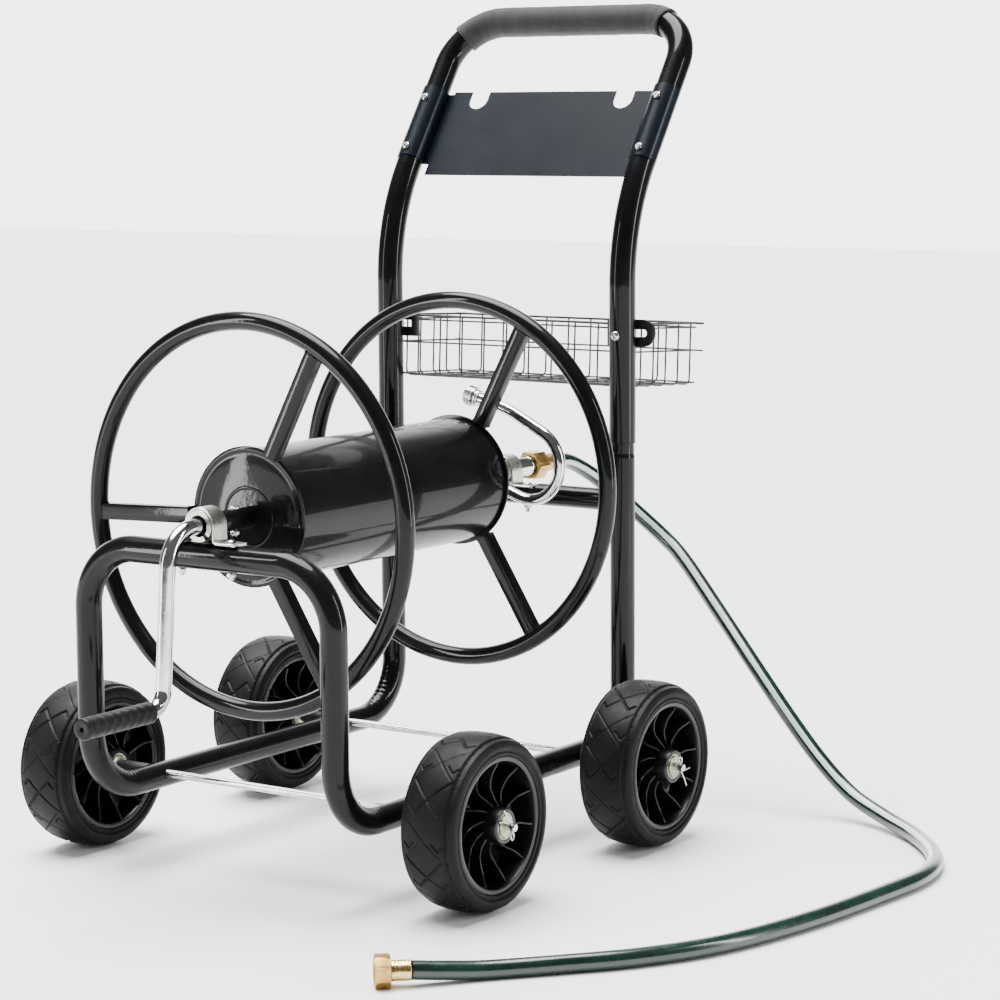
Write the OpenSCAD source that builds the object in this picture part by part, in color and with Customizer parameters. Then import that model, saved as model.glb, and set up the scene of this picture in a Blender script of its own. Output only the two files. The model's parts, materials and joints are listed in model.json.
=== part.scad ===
// Garden hose reel cart, in millimetres. +Z is up and +Y points to the rear, where the
// handle is. The origin is on the floor, under the middle of the cart.
// A bent tube frame on four wheels carries a crank-driven hose drum. Water comes in along
// the drum's rear axle, through a swivel, and leaves by the gooseneck that turns with it.

/* [Base frame] */
// Outer diameter of the base frame's tube
frame_tube = 32; // [31:0.5:33]
// Distance between the centre lines of the two side tubes
side_spacing = 370; // [364:2:376]
// Height of the side rails' centre line
rail_z = 100; // [98:1:102]
// Height of the front top bar's centre line
bar_z = 405; // [403:1:405]
// Radius of the base frame's bends, at the tube's centre line
frame_bend = 75; // [70:1:80]

/* [Handle] */
// Outer diameter of the uprights and of the handle's tube
upright_tube = 34; // [34:0.5:35]
// Height at which the uprights start to lean back
lean_z = 690; // [680:5:700]
// Angle that the handle leans back from the vertical
lean = 34.3; // [30:0.1:36]
// Outer diameter of the foam grip
foam_d = 41; // [39:0.5:42]

/* [Wheels] */
// Radius of each tyre
wheel_r = 104; // [102:1:106]
// Width of each tyre
wheel_w = 75; // [70:1:76]
// Distance from the cart's middle to the middle of a tyre
wheel_x = 293; // [290:1:296]
// Diameter of the axle rods
axle_d = 9.5; // [9:0.1:10]

/* [Reel] */
// Height of the drum's axis
reel_z = 442; // [442:0.5:444]
// Radius of the side rings, at the tube's centre line
ring_r = 232; // [228:1:234]
// Outer diameter of the side rings' tube
ring_tube = 22.5; // [20:0.5:24]
// Outer radius of the drum's shell
drum_r = 80; // [76:1:81]

/* [Hose] */
// Outer diameter of the hose
hose_d = 21; // [19:0.5:21]

/* [Hidden] */

$fn = 48;
wall = 1.6;
running_gap = 0.05;
// A bend is drawn a hair thicker than the straights, which reach this far into it
bend_extra = 0.2;
bend_lap = 0.5;
side_x = side_spacing / 2;

// Frame: where the posts, uprights and axles stand along the cart
post_y = -295;
upright_y = 318;
front_axle_y = -174;
rear_axle_y = 198;
neck_z = 473;
upper_z = 490;
neck_d = 30.6;
neck_inside = 40;
axle_z = wheel_r;
axle_end = 350;
axle_ys = [front_axle_y, rear_axle_y];
rim_r = 80;
web_t = 6;
vane_count = 11;
vane_t = 3;
axle_hole = axle_d + 0.3;
pin_x = axle_end - 5;
hub_inner = 252;
hub_outer = 336;
hub_r = 21;
bearing_r = 16;
washer_t = 1.7;
washer_d = 26;
sleeve_d = 17;

// Handle: the plane that the uprights lean into, and the tube's bends at the top
lean_bend = 280;
joint_y = upright_y + lean_bend * (1 - cos(lean));
joint_z = lean_z + lean_bend * sin(lean);
handle_bend = 70;
handle_top = 225.5;
handle_rise = handle_top - handle_bend;
handle_rear_y = joint_y + handle_top * sin(lean) + foam_d / 2;
foam_left_angle = 53;
foam_right_angle = 27;
// The foam's bore clears the tube, whose bends are drawn a hair thicker
foam_gap = 0.3;

// Tool panel, in the handle's plane: heights are along the slope from the joint
panel_low = -17;
panel_high = 116;
panel_sheet = 1.5;
panel_back = 7;
panel_half = 159;
wrap_high = 112;
notch_x = 115.5;
notch_r = 14.5;
notch_mid = 103.5;
screw_heights = [12, 91];
screw_d = 5;
screw_head_d = 10;

// Crossbar and bearings
crossbar_d = 28.5;
crossbar_z = 414;
seat_half = 56;
rear_seat_z = 422.5;
front_seat_z = bar_z + frame_tube / 2;
bush_d = 38;
bush_length = 28;
shaft_d = 25.4;
strap_width = 25;
strap = 2.8;
strap_bolt_x = 37.5;
bolt_d = 6;
bolt_hole = bolt_d + 0.6;
nut_t = 5;
front_nut_z = bar_z - frame_tube / 2 - nut_t - 0.4;
rear_nut_z = crossbar_z - crossbar_d / 2 - nut_t - 0.4;

// Reel
front_ring_y = -220;
rear_ring_y = 208;
disc_r = 84.3;
disc_t = 3;
drum_front = -217;
drum_rear = 206;
spoke_w = 20;
spoke_t = 16;
spoke_angles = [62, 182, -58];

// Crank
crank_d = 19;
crank_tilt = 4.7;
crank_bend_y = -319;
crank_top_bend = 45;
crank_low_bend = 24;
crank_grip_z = 238.5;
grip_d = 25.5;
grip_end = 4;
crank_turn = 90 - crank_tilt;
crank_bends_drop = (crank_top_bend + crank_low_bend) * (1 - cos(crank_turn));
crank_reach = (reel_z - crank_grip_z - crank_bends_drop) / sin(crank_turn);
grip_start_y = crank_bend_y - (crank_top_bend + crank_low_bend) * sin(crank_turn)
    - crank_reach * cos(crank_turn);
grip_pin = grip_start_y + handle_rear_y - grip_end - 0.6;

// Water path
swivel_start = 332;
inlet_face = 376;
inlet_nut_length = 25;
hose_start_y = 436;
gooseneck_y = 256;
gooseneck_d = 15;

// Basket, in its own tilted frame: x across, y back from the front wall, z down from the rim
basket_y = 341;
basket_z = 641;
basket_tilt = 3;
basket_half = 188;
basket_deep = 153;
basket_mid = 36;
basket_tall = 79;
wire = 2.4;
rim_wire = 3.2;
// Where the cross wires stand, and the height and size of each level wire
across = [for (i = [0:8]) -155 + 36 * i];
along = [for (i = [0:4]) 20 + 31 * i];
levels = [[0, rim_wire], [-5.6, wire], [-basket_mid, wire], [-basket_tall, wire]];
hanger_z = 630;
hanger_bolt_z = hanger_z - 1.5;
hanger_y = upright_y + upright_tube / 2 + 0.3;
hanger_t = 3;

// Hose end coupling, lying on the floor
end_face = [381, -487, 17.5];
end_turn = 41;
end_length = 39;
nut_length = 17.4;
nut_flats = 35;
nut_bore = 26.6;

// Hose route, from the inlet shank down to the floor, round, and forward to the end coupling
route = [
    [0, 436, 442], [1, 470, 439], [10, 507, 421], [33, 535, 393], [65, 550, 362],
    [105, 555, 330], [142, 546, 303], [215, 516, 242], [286, 487, 181], [349, 470, 120],
    [402, 460, 70], [454, 448, 34], [514, 424, 17], [572, 386, 11], [626, 328, 10.5],
    [660, 270, 10.5], [676, 200, 10.5], [672, 110, 10.5], [655, -40, 10.5],
    [622, -175, 10.5], [574, -267, 10.5], [520, -333, 10.5], [464, -396, 10.5],
    [434, -433, 14], [410.8, -461.1, 17.5]
];
rings_per_span = 2;
hose_sides = 12;

// ---------------------------------------------------------------- shared shapes

// A straight length of tube along +Z
module straight_tube(length, od, thick) {
    difference() {
        cylinder(h = length, d = od);
        translate([0, 0, -1]) cylinder(h = length + 2, d = od - 2 * thick);
    }
}

// A bend that starts at the origin along +Z and turns towards +X
module tube_bend(radius, angle, od, thick) {
    translate([radius, 0, 0]) rotate([90, 0, 0]) rotate([0, 0, 180 - angle])
        rotate_extrude(angle = angle) translate([radius, 0]) difference() {
            circle(d = od + bend_extra);
            circle(d = od - 2 * thick - bend_extra);
        }
}

// Moves to the far end of such a bend
module bend_end(radius, angle) {
    translate([radius * (1 - cos(angle)), 0, radius * sin(angle)]) rotate([0, angle, 0]) children();
}

// A bent tube. Each step is [straight length, bend radius, bend angle, roll before the bend]
module bent_tube(steps, od, thick, i = 0) {
    if (i < len(steps)) {
        step = steps[i];
        before = i > 0 ? bend_lap : 0;
        after = step[2] > 0 ? bend_lap : 0;
        if (step[0] > 0)
            translate([0, 0, -before]) straight_tube(before + step[0] + after, od, thick);
        translate([0, 0, step[0]]) rotate([0, 0, step[3]]) {
            if (step[2] > 0) tube_bend(step[1], step[2], od, thick);
            bend_end(step[1], step[2]) bent_tube(steps, od, thick, i + 1) children();
        }
    } else {
        children();
    }
}

// Turns a shape that points along +Z to point along +Y, on the drum's axis
module on_reel_axis(y) {
    translate([0, y, reel_z]) rotate([-90, 0, 0]) children();
}

// Turns a shape that points along +Z to point along +X, on an axle
module on_axle(x, y) {
    translate([x, y, axle_z]) rotate([0, 90, 0]) children();
}

// The handle's plane: x across, y out of the plane to the rear, z up the slope from the joint
module handle_plane(x = 0, up = 0) {
    translate([x, joint_y, joint_z]) rotate([-lean, 0, 0]) translate([0, 0, up]) children();
}

// A ring-shaped bar, along +Z
module collar(length, outer, inner) {
    difference() {
        cylinder(h = length, d = outer);
        translate([0, 0, -1]) cylinder(h = length + 2, d = inner);
    }
}

// A hexagon head or nut blank with the given distance between its flats
module hexagon(height, flats) {
    cylinder(h = height, d = flats / cos(30), $fn = 6);
}

// ---------------------------------------------------------------- base frame

module front_loop() {
    post = bar_z - rail_z - 2 * frame_bend;
    color("#17181a") translate([-side_x, post_y + frame_bend, rail_z]) rotate([90, 0, 0])
        difference() {
            bent_tube([
                [0, frame_bend, 90, 90],
                [post, frame_bend, 90, -90],
                [side_spacing - 2 * frame_bend, frame_bend, 90, 0],
                [post, frame_bend, 90, 90]
            ], frame_tube, wall);
            // Bolt holes of the front bearing, down through the top bar
            for (side = [-1, 1])
                translate([side_x + side * strap_bolt_x, bar_z - rail_z + 30, frame_bend])
                    rotate([90, 0, 0]) cylinder(h = 60, d = bolt_hole);
        }
}

module side_rail(side) {
    rail_start = post_y + frame_bend;
    rail = upright_y - frame_bend - rail_start;
    color("#17181a") difference() {
        translate([side * side_x, rail_start, rail_z]) rotate([-90, 0, 0])
            bent_tube([[rail, frame_bend, 90, -90], [neck_z - rail_z - frame_bend, 0, 0, 0]],
                      frame_tube, wall)
                straight_tube(upper_z - neck_z + neck_inside, neck_d, wall);
        for (y = axle_ys)
            on_axle(side * side_x - 30, y) cylinder(h = 60, d = axle_hole);
    }
}

module left_side_rail() {
    side_rail(-1);
}

module right_side_rail() {
    side_rail(1);
}

// The crossbar's middle is pressed flat on top, as a seat for the rear bearing
module crossbar() {
    color("#17181a") difference() {
        union() {
            difference() {
                translate([-side_x, upright_y, crossbar_z]) rotate([0, 90, 0])
                    straight_tube(side_spacing, crossbar_d, wall);
                translate([-seat_half, upright_y - 20, rear_seat_z])
                    cube([2 * seat_half, 40, 20]);
            }
            intersection() {
                translate([-seat_half, upright_y, crossbar_z]) rotate([0, 90, 0])
                    cylinder(h = 2 * seat_half, d = crossbar_d);
                translate([-seat_half, upright_y - 20, rear_seat_z - wall])
                    cube([2 * seat_half, 40, wall]);
            }
        }
        for (side = [-1, 1]) {
            translate([side * side_x, upright_y, crossbar_z - 30]) cylinder(h = 60, d = frame_tube);
            translate([side * strap_bolt_x, upright_y, crossbar_z - 30]) cylinder(h = 60, d = bolt_hole);
        }
    }
}

// Upper upright: slips over the rail's neck, and its own neck goes up into the handle's tube
module upright(side) {
    color("#17181a") translate([side * side_x, upright_y, upper_z]) difference() {
        bent_tube([[lean_z - upper_z, lean_bend, lean, 90]], upright_tube, wall) {
            translate([0, 0, -6]) straight_tube(6, upright_tube - wall, wall + 1);
            translate([0, 0, -1]) straight_tube(neck_inside, neck_d - 0.2, wall);
        }
        translate([0, -40, hanger_bolt_z - upper_z]) rotate([-90, 0, 0]) cylinder(h = 80, d = bolt_hole);
    }
}

module left_upright() {
    upright(-1);
}

module right_upright() {
    upright(1);
}

// ---------------------------------------------------------------- handle and panel

module handle_tube() {
    color("#17181a") handle_plane(-side_x)
        bent_tube([
            [handle_rise, handle_bend, 90, 0],
            [side_spacing - 2 * handle_bend, handle_bend, 90, 0],
            [handle_rise, 0, 0, 0]
        ], upright_tube, wall);
}

module handle_grip() {
    foam = (foam_d - upright_tube) / 2 - foam_gap;
    color("#232323") handle_plane(-side_x, handle_rise)
        bend_end(handle_bend, 90 - foam_left_angle)
            bent_tube([
                [0, handle_bend, foam_left_angle, 0],
                [side_spacing - 2 * handle_bend, handle_bend, foam_right_angle, 0]
            ], foam_d, foam);
}

// The sheet's outline: wider where its edges wrap round the tubes, with two tool notches
module panel_outline(sheet_end) {
    difference() {
        union() {
            translate([-panel_half, panel_low]) square([2 * panel_half, panel_high - panel_low]);
            translate([-sheet_end, 0]) square([2 * sheet_end, wrap_high]);
        }
        for (side = [-1, 1])
            translate([side * notch_x, notch_mid]) {
                circle(r = notch_r);
                translate([0.1 - notch_r, 0]) square([2 * notch_r - 0.2, 30]);
            }
    }
}

// Sheet between the uprights, with an edge wrapped round the front of each tube
module tool_panel() {
    wrap_r = upright_tube / 2 + 0.2;
    sheet_end = side_x - sqrt(wrap_r * wrap_r - panel_back * panel_back) - 0.2;
    wrap_start = 180 - asin((panel_back + panel_sheet / 2) / (wrap_r + panel_sheet / 2));
    color("#101a24") handle_plane() difference() {
        union() {
            translate([0, panel_back + panel_sheet, 0]) rotate([90, 0, 0])
                linear_extrude(panel_sheet) panel_outline(sheet_end);
            for (side = [0, 1])
                mirror([side, 0, 0]) translate([side_x, 0, 0.5]) rotate([0, 0, wrap_start])
                    rotate_extrude(angle = 360 - wrap_start)
                        translate([wrap_r, 0]) square([panel_sheet, wrap_high - 1]);
        }
        for (side = [-1, 1], up = screw_heights)
            translate([side * side_x, 0, up]) rotate([90, 0, 0]) cylinder(h = 25, d = screw_d + 0.4);
    }
}

// Pan head screws that hold the panel's wrapped edges to the tubes
module panel_screws() {
    head_y = -upright_tube / 2 - panel_sheet - 0.4;
    rim_high = 2.2;
    slot = [5.2, 1, 3];
    color("#d8dadc") for (side = [-1, 1], up = screw_heights)
        handle_plane(side * side_x, up) translate([0, head_y, 0]) rotate([90, 0, 0]) {
            difference() {
                union() {
                    cylinder(h = rim_high, d = screw_head_d);
                    translate([0, 0, rim_high]) cylinder(h = 1, d1 = screw_head_d, d2 = 7);
                }
                for (turn = [45, 135])
                    rotate([0, 0, turn]) translate([-slot[0] / 2, -slot[1] / 2, 1.2]) cube(slot);
            }
            translate([0, 0, -panel_sheet]) cylinder(h = panel_sheet + 0.1, d = screw_d);
        }
}

// ---------------------------------------------------------------- axles

module axle(y) {
    color("#c9cccf") difference() {
        on_axle(-axle_end, y) cylinder(h = 2 * axle_end, d = axle_d);
        for (side = [-1, 1])
            translate([side * pin_x, y, axle_z - 10]) cylinder(h = 20, d = 3.2);
    }
}

module front_axle() {
    axle(front_axle_y);
}

module rear_axle() {
    axle(rear_axle_y);
}

// Sleeves that hold the wheels away from the rails
module axle_spacers() {
    start = side_x + frame_tube / 2 + 0.3;
    stop = hub_inner - washer_t - 0.6;
    color("#1b1b1b") for (side = [0, 1], y = axle_ys)
        mirror([side, 0, 0]) on_axle(start, y) collar(stop - start, sleeve_d, axle_hole);
}

// One washer on each side of each hub
module axle_washers() {
    inner = hub_inner - washer_t - 0.3;
    outer = hub_outer + 0.3;
    color("#b9bb9c") for (side = [0, 1], y = axle_ys, x = [inner, outer])
        mirror([side, 0, 0]) on_axle(x, y) collar(washer_t, washer_d, axle_hole);
}

// A straight leg of a spring clip or split pin, across the axle, leaning by an angle towards -Y
module pin_leg(up, angle, length, d) {
    translate([0, 0, up]) rotate([angle, 0, 0]) cylinder(h = length, d = d);
}

// A wire eye in the plane across the axle
module pin_eye(up, r, d) {
    translate([0, 0, up]) rotate([0, 90, 0]) rotate_extrude() translate([r, 0]) circle(d = d);
}

// Spring clips up through the front axle's ends, each with its eye below and two spread legs
module hairpin_clips() {
    wire_d = 2.2;
    color("#dcdedf") for (side = [-1, 1])
        translate([side * pin_x, front_axle_y, axle_z]) {
            pin_leg(-9.5, 0, 18, wire_d);
            pin_leg(7.9, 40, 19, wire_d);
            pin_leg(7.9, 76, 22, wire_d);
            pin_eye(-12.2, 3.1, wire_d);
        }
}

// Split pins down through the rear axle's ends, each with its eye above and bent legs below
module split_pins() {
    wire_d = 2.4;
    color("#dcdedf") for (side = [-1, 1])
        translate([side * pin_x, rear_axle_y, axle_z]) {
            pin_leg(-8.5, 0, 17, wire_d);
            pin_leg(-8, 208, 19, wire_d);
            pin_leg(-8, 264, 20, wire_d);
            pin_eye(11.4, 3.3, wire_d);
        }
}

// ---------------------------------------------------------------- wheels

// Section of the tyre: radius against width, with rounded shoulders
module tyre_section() {
    half = wheel_w / 2;
    shoulder = 13;
    arc_r = wheel_r - shoulder;
    arc_z = half - shoulder;
    polygon(concat(
        [[rim_r, -half + 3], [rim_r + 4, -half]],
        [for (a = [-90:15:0]) [arc_r + shoulder * cos(a), -arc_z + shoulder * sin(a)]],
        [for (a = [0:15:90]) [arc_r + shoulder * cos(a), arc_z + shoulder * sin(a)]],
        [[rim_r + 4, half], [rim_r, half - 3]]
    ));
}

module tyre(side, y) {
    color("#1c1c1c") on_axle(side * wheel_x, y) rotate_extrude() tyre_section();
}

// Curved vanes that stand on one face of the rim's web, from one height up to another
module vanes(low, high) {
    vane_r = 44;
    intersection() {
        collar_between(low, high, rim_r - 6, hub_r - 0.5);
        for (i = [0:vane_count - 1])
            rotate([0, 0, i * 360 / vane_count]) translate([46, -vane_r, low])
                collar(high - low, 2 * vane_r + vane_t, 2 * vane_r);
    }
}

// Plastic rim: a barrel, a web, a hub, and vanes on both faces. The left wheels are turned round
module rim(side, y) {
    half = wheel_w / 2;
    color("#151515") rotate([0, 0, side < 0 ? 180 : 0]) on_axle(wheel_x, side * y) {
        difference() {
            union() {
                collar_between(-half + 3, half - 3, rim_r, rim_r - 6.5);
                translate([0, 0, -web_t]) cylinder(h = web_t, r = rim_r - 6);
                translate([0, 0, hub_inner - wheel_x]) cylinder(h = hub_outer - hub_inner, r = hub_r);
            }
            translate([0, 0, -60]) cylinder(h = 120, r = bearing_r);
        }
        vanes(-0.5, 24);
        vanes(-web_t - 24, -web_t + 0.5);
    }
}

// A ring from one height to another along Z, between two radii
module collar_between(low, high, outer_r, inner_r) {
    translate([0, 0, low]) difference() {
        cylinder(h = high - low, r = outer_r);
        translate([0, 0, -1]) cylinder(h = high - low + 2, r = inner_r);
    }
}

module bearing(side, y) {
    color("#a9ab86") mirror([side < 0 ? 1 : 0, 0, 0]) on_axle(hub_inner, y)
        collar(hub_outer - hub_inner, 2 * bearing_r, axle_d + 2 * running_gap);
}

module tyre_front_left() { tyre(-1, front_axle_y); }
module tyre_front_right() { tyre(1, front_axle_y); }
module tyre_rear_left() { tyre(-1, rear_axle_y); }
module tyre_rear_right() { tyre(1, rear_axle_y); }
module rim_front_left() { rim(-1, front_axle_y); }
module rim_front_right() { rim(1, front_axle_y); }
module rim_rear_left() { rim(-1, rear_axle_y); }
module rim_rear_right() { rim(1, rear_axle_y); }
module bearing_front_left() { bearing(-1, front_axle_y); }
module bearing_front_right() { bearing(1, front_axle_y); }
module bearing_rear_left() { bearing(-1, rear_axle_y); }
module bearing_rear_right() { bearing(1, rear_axle_y); }

// ---------------------------------------------------------------- reel bearings

// Pressed strap over a bush, with a flat foot on each side
module saddle(y, seat) {
    drop = reel_z - seat;
    arch = bush_d / 2 + 0.1;
    translate([0, y - strap_width / 2, reel_z]) rotate([90, 0, 0]) mirror([0, 0, 1]) difference() {
        linear_extrude(strap_width) {
            difference() {
                circle(r = arch + strap);
                circle(r = arch);
                translate([-50, -100]) square([100, 100]);
            }
            for (side = [0, 1])
                mirror([side, 0]) {
                    translate([arch, -drop]) square([strap, drop]);
                    translate([arch, -drop]) square([52 - arch, strap]);
                }
        }
        for (side = [-1, 1])
            translate([side * strap_bolt_x, 0, strap_width / 2]) rotate([90, 0, 0])
                cylinder(h = 40, d = bolt_hole);
    }
}

module bearing_saddles() {
    color("#b8bcae") saddle(post_y, front_seat_z);
    color("#b8bcae") saddle(upright_y, rear_seat_z);
}

module saddle_bushes() {
    color("#c2c5b8") for (y = [post_y, upright_y])
        on_reel_axis(y - bush_length / 2) collar(bush_length, bush_d, shaft_d + 2 * running_gap);
}

// Bolts down through each saddle's feet and the tube below: [y, top of the foot, lower end]
module saddle_bolts() {
    places = [
        [post_y, front_seat_z + strap, front_nut_z - 3.6],
        [upright_y, rear_seat_z + strap, rear_nut_z - 5.35]
    ];
    color("#d0d2d4") for (side = [-1, 1], at = places)
        translate([side * strap_bolt_x, at[0], at[2]]) {
            cylinder(h = at[1] - at[2], d = bolt_d);
            translate([0, 0, at[1] - at[2]]) cylinder(h = 3.6, d1 = 12, d2 = 7);
        }
}

// Bolts that hold the basket's hangers, through the uprights
module basket_bolts() {
    head_y = upright_y - upright_tube / 2 - 0.3;
    color("#d0d2d4") for (side = [-1, 1])
        translate([side * side_x, head_y, hanger_bolt_z]) rotate([-90, 0, 0]) {
            cylinder(h = upright_tube + 12, d = bolt_d);
            translate([0, 0, -3]) cylinder(h = 3, d1 = 7, d2 = 12);
        }
}

// A nut along +Z, its bore a hair over the bolt
module nut() {
    difference() {
        hexagon(nut_t, 10);
        translate([0, 0, -1]) cylinder(h = nut_t + 2, d = bolt_d + 0.1);
    }
}

module frame_nuts() {
    color("#c4c6c8") {
        for (side = [-1, 1], at = [[post_y, front_nut_z], [upright_y, rear_nut_z]])
            translate([side * strap_bolt_x, at[0], at[1]]) nut();
        for (side = [-1, 1])
            translate([side * side_x, hanger_y + hanger_t + 0.1, hanger_bolt_z]) rotate([-90, 0, 0]) nut();
    }
}

// ---------------------------------------------------------------- basket

module basket_frame() {
    translate([0, basket_y, basket_z]) rotate([-basket_tilt, 0, 0]) children();
}

// A straight wire between two corners, with a square section
module bar(low, high) {
    translate(low) cube(high - low);
}

// A wall across the cart: level wires, and upright wires just inside them
module basket_wall(y, reach, inward) {
    upright_y0 = y + inward * 0.8 - wire / 2;
    for (level = levels) {
        half = level[1] / 2;
        bar([-reach, y - half, level[0] - half], [reach, y + half, level[0] + half]);
    }
    for (x = across)
        bar([x - wire / 2, upright_y0, -basket_tall], [x + wire / 2, upright_y0 + wire, 0]);
}

module basket_front() {
    color("#191919") basket_frame() basket_wall(0, basket_half - 2, 1);
}

module basket_back() {
    color("#191919") basket_frame() basket_wall(basket_deep, basket_half + 14, -1);
}

module basket_ends() {
    color("#191919") basket_frame() for (side = [0, 1]) mirror([side, 0, 0]) {
        for (level = levels) {
            half = level[1] / 2;
            bar([basket_half, 4, level[0] - half],
                [basket_half + level[1], basket_deep - 2, level[0] + half]);
        }
        for (y = along)
            bar([basket_half - 0.8, y - wire / 2, -basket_tall], [basket_half + 1, y + wire / 2, 0]);
    }
}

module basket_floor() {
    low = -basket_tall - wire / 2;
    color("#191919") basket_frame() {
        for (x = across)
            bar([x - wire / 2, 3, low], [x + wire / 2, basket_deep - 3, low + wire]);
        for (y = along)
            bar([-basket_half + 2, y - wire / 2, low - 1.2], [basket_half - 2, y + wire / 2, low + 1.2]);
    }
}

// Slotted plates that hang the basket on the uprights' bolts
module basket_hangers() {
    color("#191919") for (side = [0, 1])
        mirror([side, 0, 0]) translate([side_x + 2, hanger_y, hanger_z + 0.5]) rotate([-90, 0, 0])
            difference() {
                union() {
                    translate([-36, -17.5, 0]) cube([54.5, 35, hanger_t]);
                    translate([18.5, 0, 0]) cylinder(h = hanger_t, r = 17.5);
                }
                translate([-24, -5, -1]) cube([43, 10, hanger_t + 2]);
                translate([19, 0, -1]) cylinder(h = hanger_t + 2, d = 10);
            }
}

// ---------------------------------------------------------------- water inlet

// Fixed half of the swivel: a chrome body with a male thread for the inlet nut
module swivel_body() {
    body_length = inlet_face - swivel_start;
    color("#c8cacc") on_reel_axis(swivel_start + 0.3) difference() {
        union() {
            cylinder(h = body_length - 0.3, d = 24);
            translate([0, 0, body_length - 6]) cylinder(h = 21, d = nut_bore - 0.7);
        }
        translate([0, 0, -1]) cylinder(h = 24, d = 18 + 2 * running_gap);
        translate([0, 0, -1]) cylinder(h = 80, d = 12);
    }
}

// Rubber ring in the swivel, at the end of the turning axle
module swivel_seal() {
    color("#101010") on_reel_axis(swivel_start + 20.2) collar(2.6, 17.6, 12.4);
}

// Barbed shank of a hose coupling along +Z from the nut's face: flange, neck and ferrule
module coupling_shank(nut, total) {
    difference() {
        union() {
            translate([0, 0, nut - 5.5]) cylinder(h = 1.2, d = nut_bore - 1);
            translate([0, 0, nut - 4.8]) cylinder(h = 6, d = 17);
            translate([0, 0, nut + 0.4]) cylinder(h = total - nut - 0.4, d = 23);
        }
        translate([0, 0, -1]) cylinder(h = total + 2, d = 12);
    }
}

// Nut of a hose coupling along +Z from its face, with the given number of sides
module coupling_nut(length, sides) {
    difference() {
        cylinder(h = length, d = nut_flats / cos(180 / sides), $fn = sides);
        translate([0, 0, -1]) cylinder(h = length - 5, d = nut_bore);
        translate([0, 0, length - 6.1]) cylinder(h = 2.1, d = nut_bore + 0.8);
        translate([0, 0, -1]) cylinder(h = length + 2, d = 17.4);
    }
}

module inlet_shank() {
    color("#c9a24a") on_reel_axis(inlet_face)
        coupling_shank(inlet_nut_length, hose_start_y - inlet_face);
}

module inlet_nut() {
    color("#c08e3e") on_reel_axis(inlet_face) coupling_nut(inlet_nut_length, 6);
}

// The coupling at the hose's free end, lying on the floor
module at_hose_end() {
    translate(end_face) rotate([0, 0, end_turn]) rotate([0, 90, 0]) children();
}

module hose_end_shank() {
    color("#d0ab52") at_hose_end() coupling_shank(nut_length, end_length);
}

module hose_end_nut() {
    color("#c08e3e") at_hose_end() rotate([0, 0, 22.5]) coupling_nut(nut_length, 8);
}

// ---------------------------------------------------------------- hose

// A smooth curve through the route's points: span i, from 0 to 1 along it
function route_at(i) = i < 0 ? 2 * route[0] - route[1]
    : i >= len(route) ? 2 * route[len(route) - 1] - route[len(route) - 2] : route[i];
function curve(a, b, c, d, t) =
    0.5 * (2 * b + (c - a) * t + (2 * a - 5 * b + 4 * c - d) * t * t
           + (3 * b - a - 3 * c + d) * t * t * t);
function span(i, t) = curve(route_at(i - 1), route_at(i), route_at(i + 1), route_at(i + 2), t);

centres = concat(
    [for (i = [0:len(route) - 2], k = [0:rings_per_span - 1]) span(i, k / rings_per_span)],
    [route[len(route) - 1]]
);
function unit(v) = v / norm(v);
function heading(i) = unit(centres[min(i + 1, len(centres) - 1)] - centres[max(i - 1, 0)]);
function ring_at(i) =
    let (along_hose = i == 0 ? [0, 1, 0]
             : i == len(centres) - 1 ? [-cos(end_turn), -sin(end_turn), 0] : heading(i),
         across_hose = unit(cross(along_hose, [0, 0, 1])),
         up_hose = cross(across_hose, along_hose))
    [for (k = [0:hose_sides - 1])
        let (a = 360 * (k + 0.5) / hose_sides)
        centres[i] + hose_d / 2 * (cos(a) * across_hose + sin(a) * up_hose)];

module hose() {
    last = len(centres) - 1;
    color("#143c2c") polyhedron(
        points = [for (i = [0:last]) each ring_at(i)],
        faces = concat(
            [[for (k = [0:hose_sides - 1]) k]],
            [for (i = [0:last - 1], k = [0:hose_sides - 1])
                let (n = (k + 1) % hose_sides, a = i * hose_sides, b = a + hose_sides)
                [a + k, b + k, b + n, a + n]],
            [[for (k = [hose_sides - 1:-1:0]) last * hose_sides + k]]
        )
    );
}

// ---------------------------------------------------------------- reel

module drum_shell() {
    color("#141414") on_reel_axis(drum_front + disc_t)
        collar(drum_rear - drum_front - 2 * disc_t, 2 * drum_r, 2 * drum_r - 2.4);
}

module drum_front_disc() {
    color("#141414") on_reel_axis(drum_front) {
        collar(disc_t, 2 * disc_r, shaft_d + 0.1);
        translate([0, 0, -1]) collar(1.2, 74, 66);
    }
}

module drum_rear_disc() {
    color("#141414") on_reel_axis(drum_rear - disc_t) collar(disc_t, 2 * disc_r, shaft_d + 0.1);
}

module ring(y) {
    color("#17181a") on_reel_axis(y) rotate_extrude() translate([ring_r, 0]) difference() {
        circle(d = ring_tube);
        circle(d = ring_tube - 2 * 1.2);
    }
}

module front_ring() {
    ring(front_ring_y);
}

module rear_ring() {
    ring(rear_ring_y);
}

// Square tubes between each drum end and its ring, shaped to the ring at their outer ends
module spokes() {
    color("#17181a") for (y = [front_ring_y, rear_ring_y])
        on_reel_axis(y) difference() {
            for (angle = spoke_angles)
                rotate([0, 0, -angle]) translate([disc_r + 0.1, -spoke_w / 2, -spoke_t / 2])
                    cube([ring_r - disc_r, spoke_w, spoke_t]);
            rotate_extrude() translate([ring_r, 0]) circle(d = ring_tube + 0.1);
            difference() {
                translate([0, 0, -20]) cylinder(h = 40, r = ring_r + 60);
                translate([0, 0, -21]) cylinder(h = 42, r = ring_r - 4);
            }
        }
}

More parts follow.
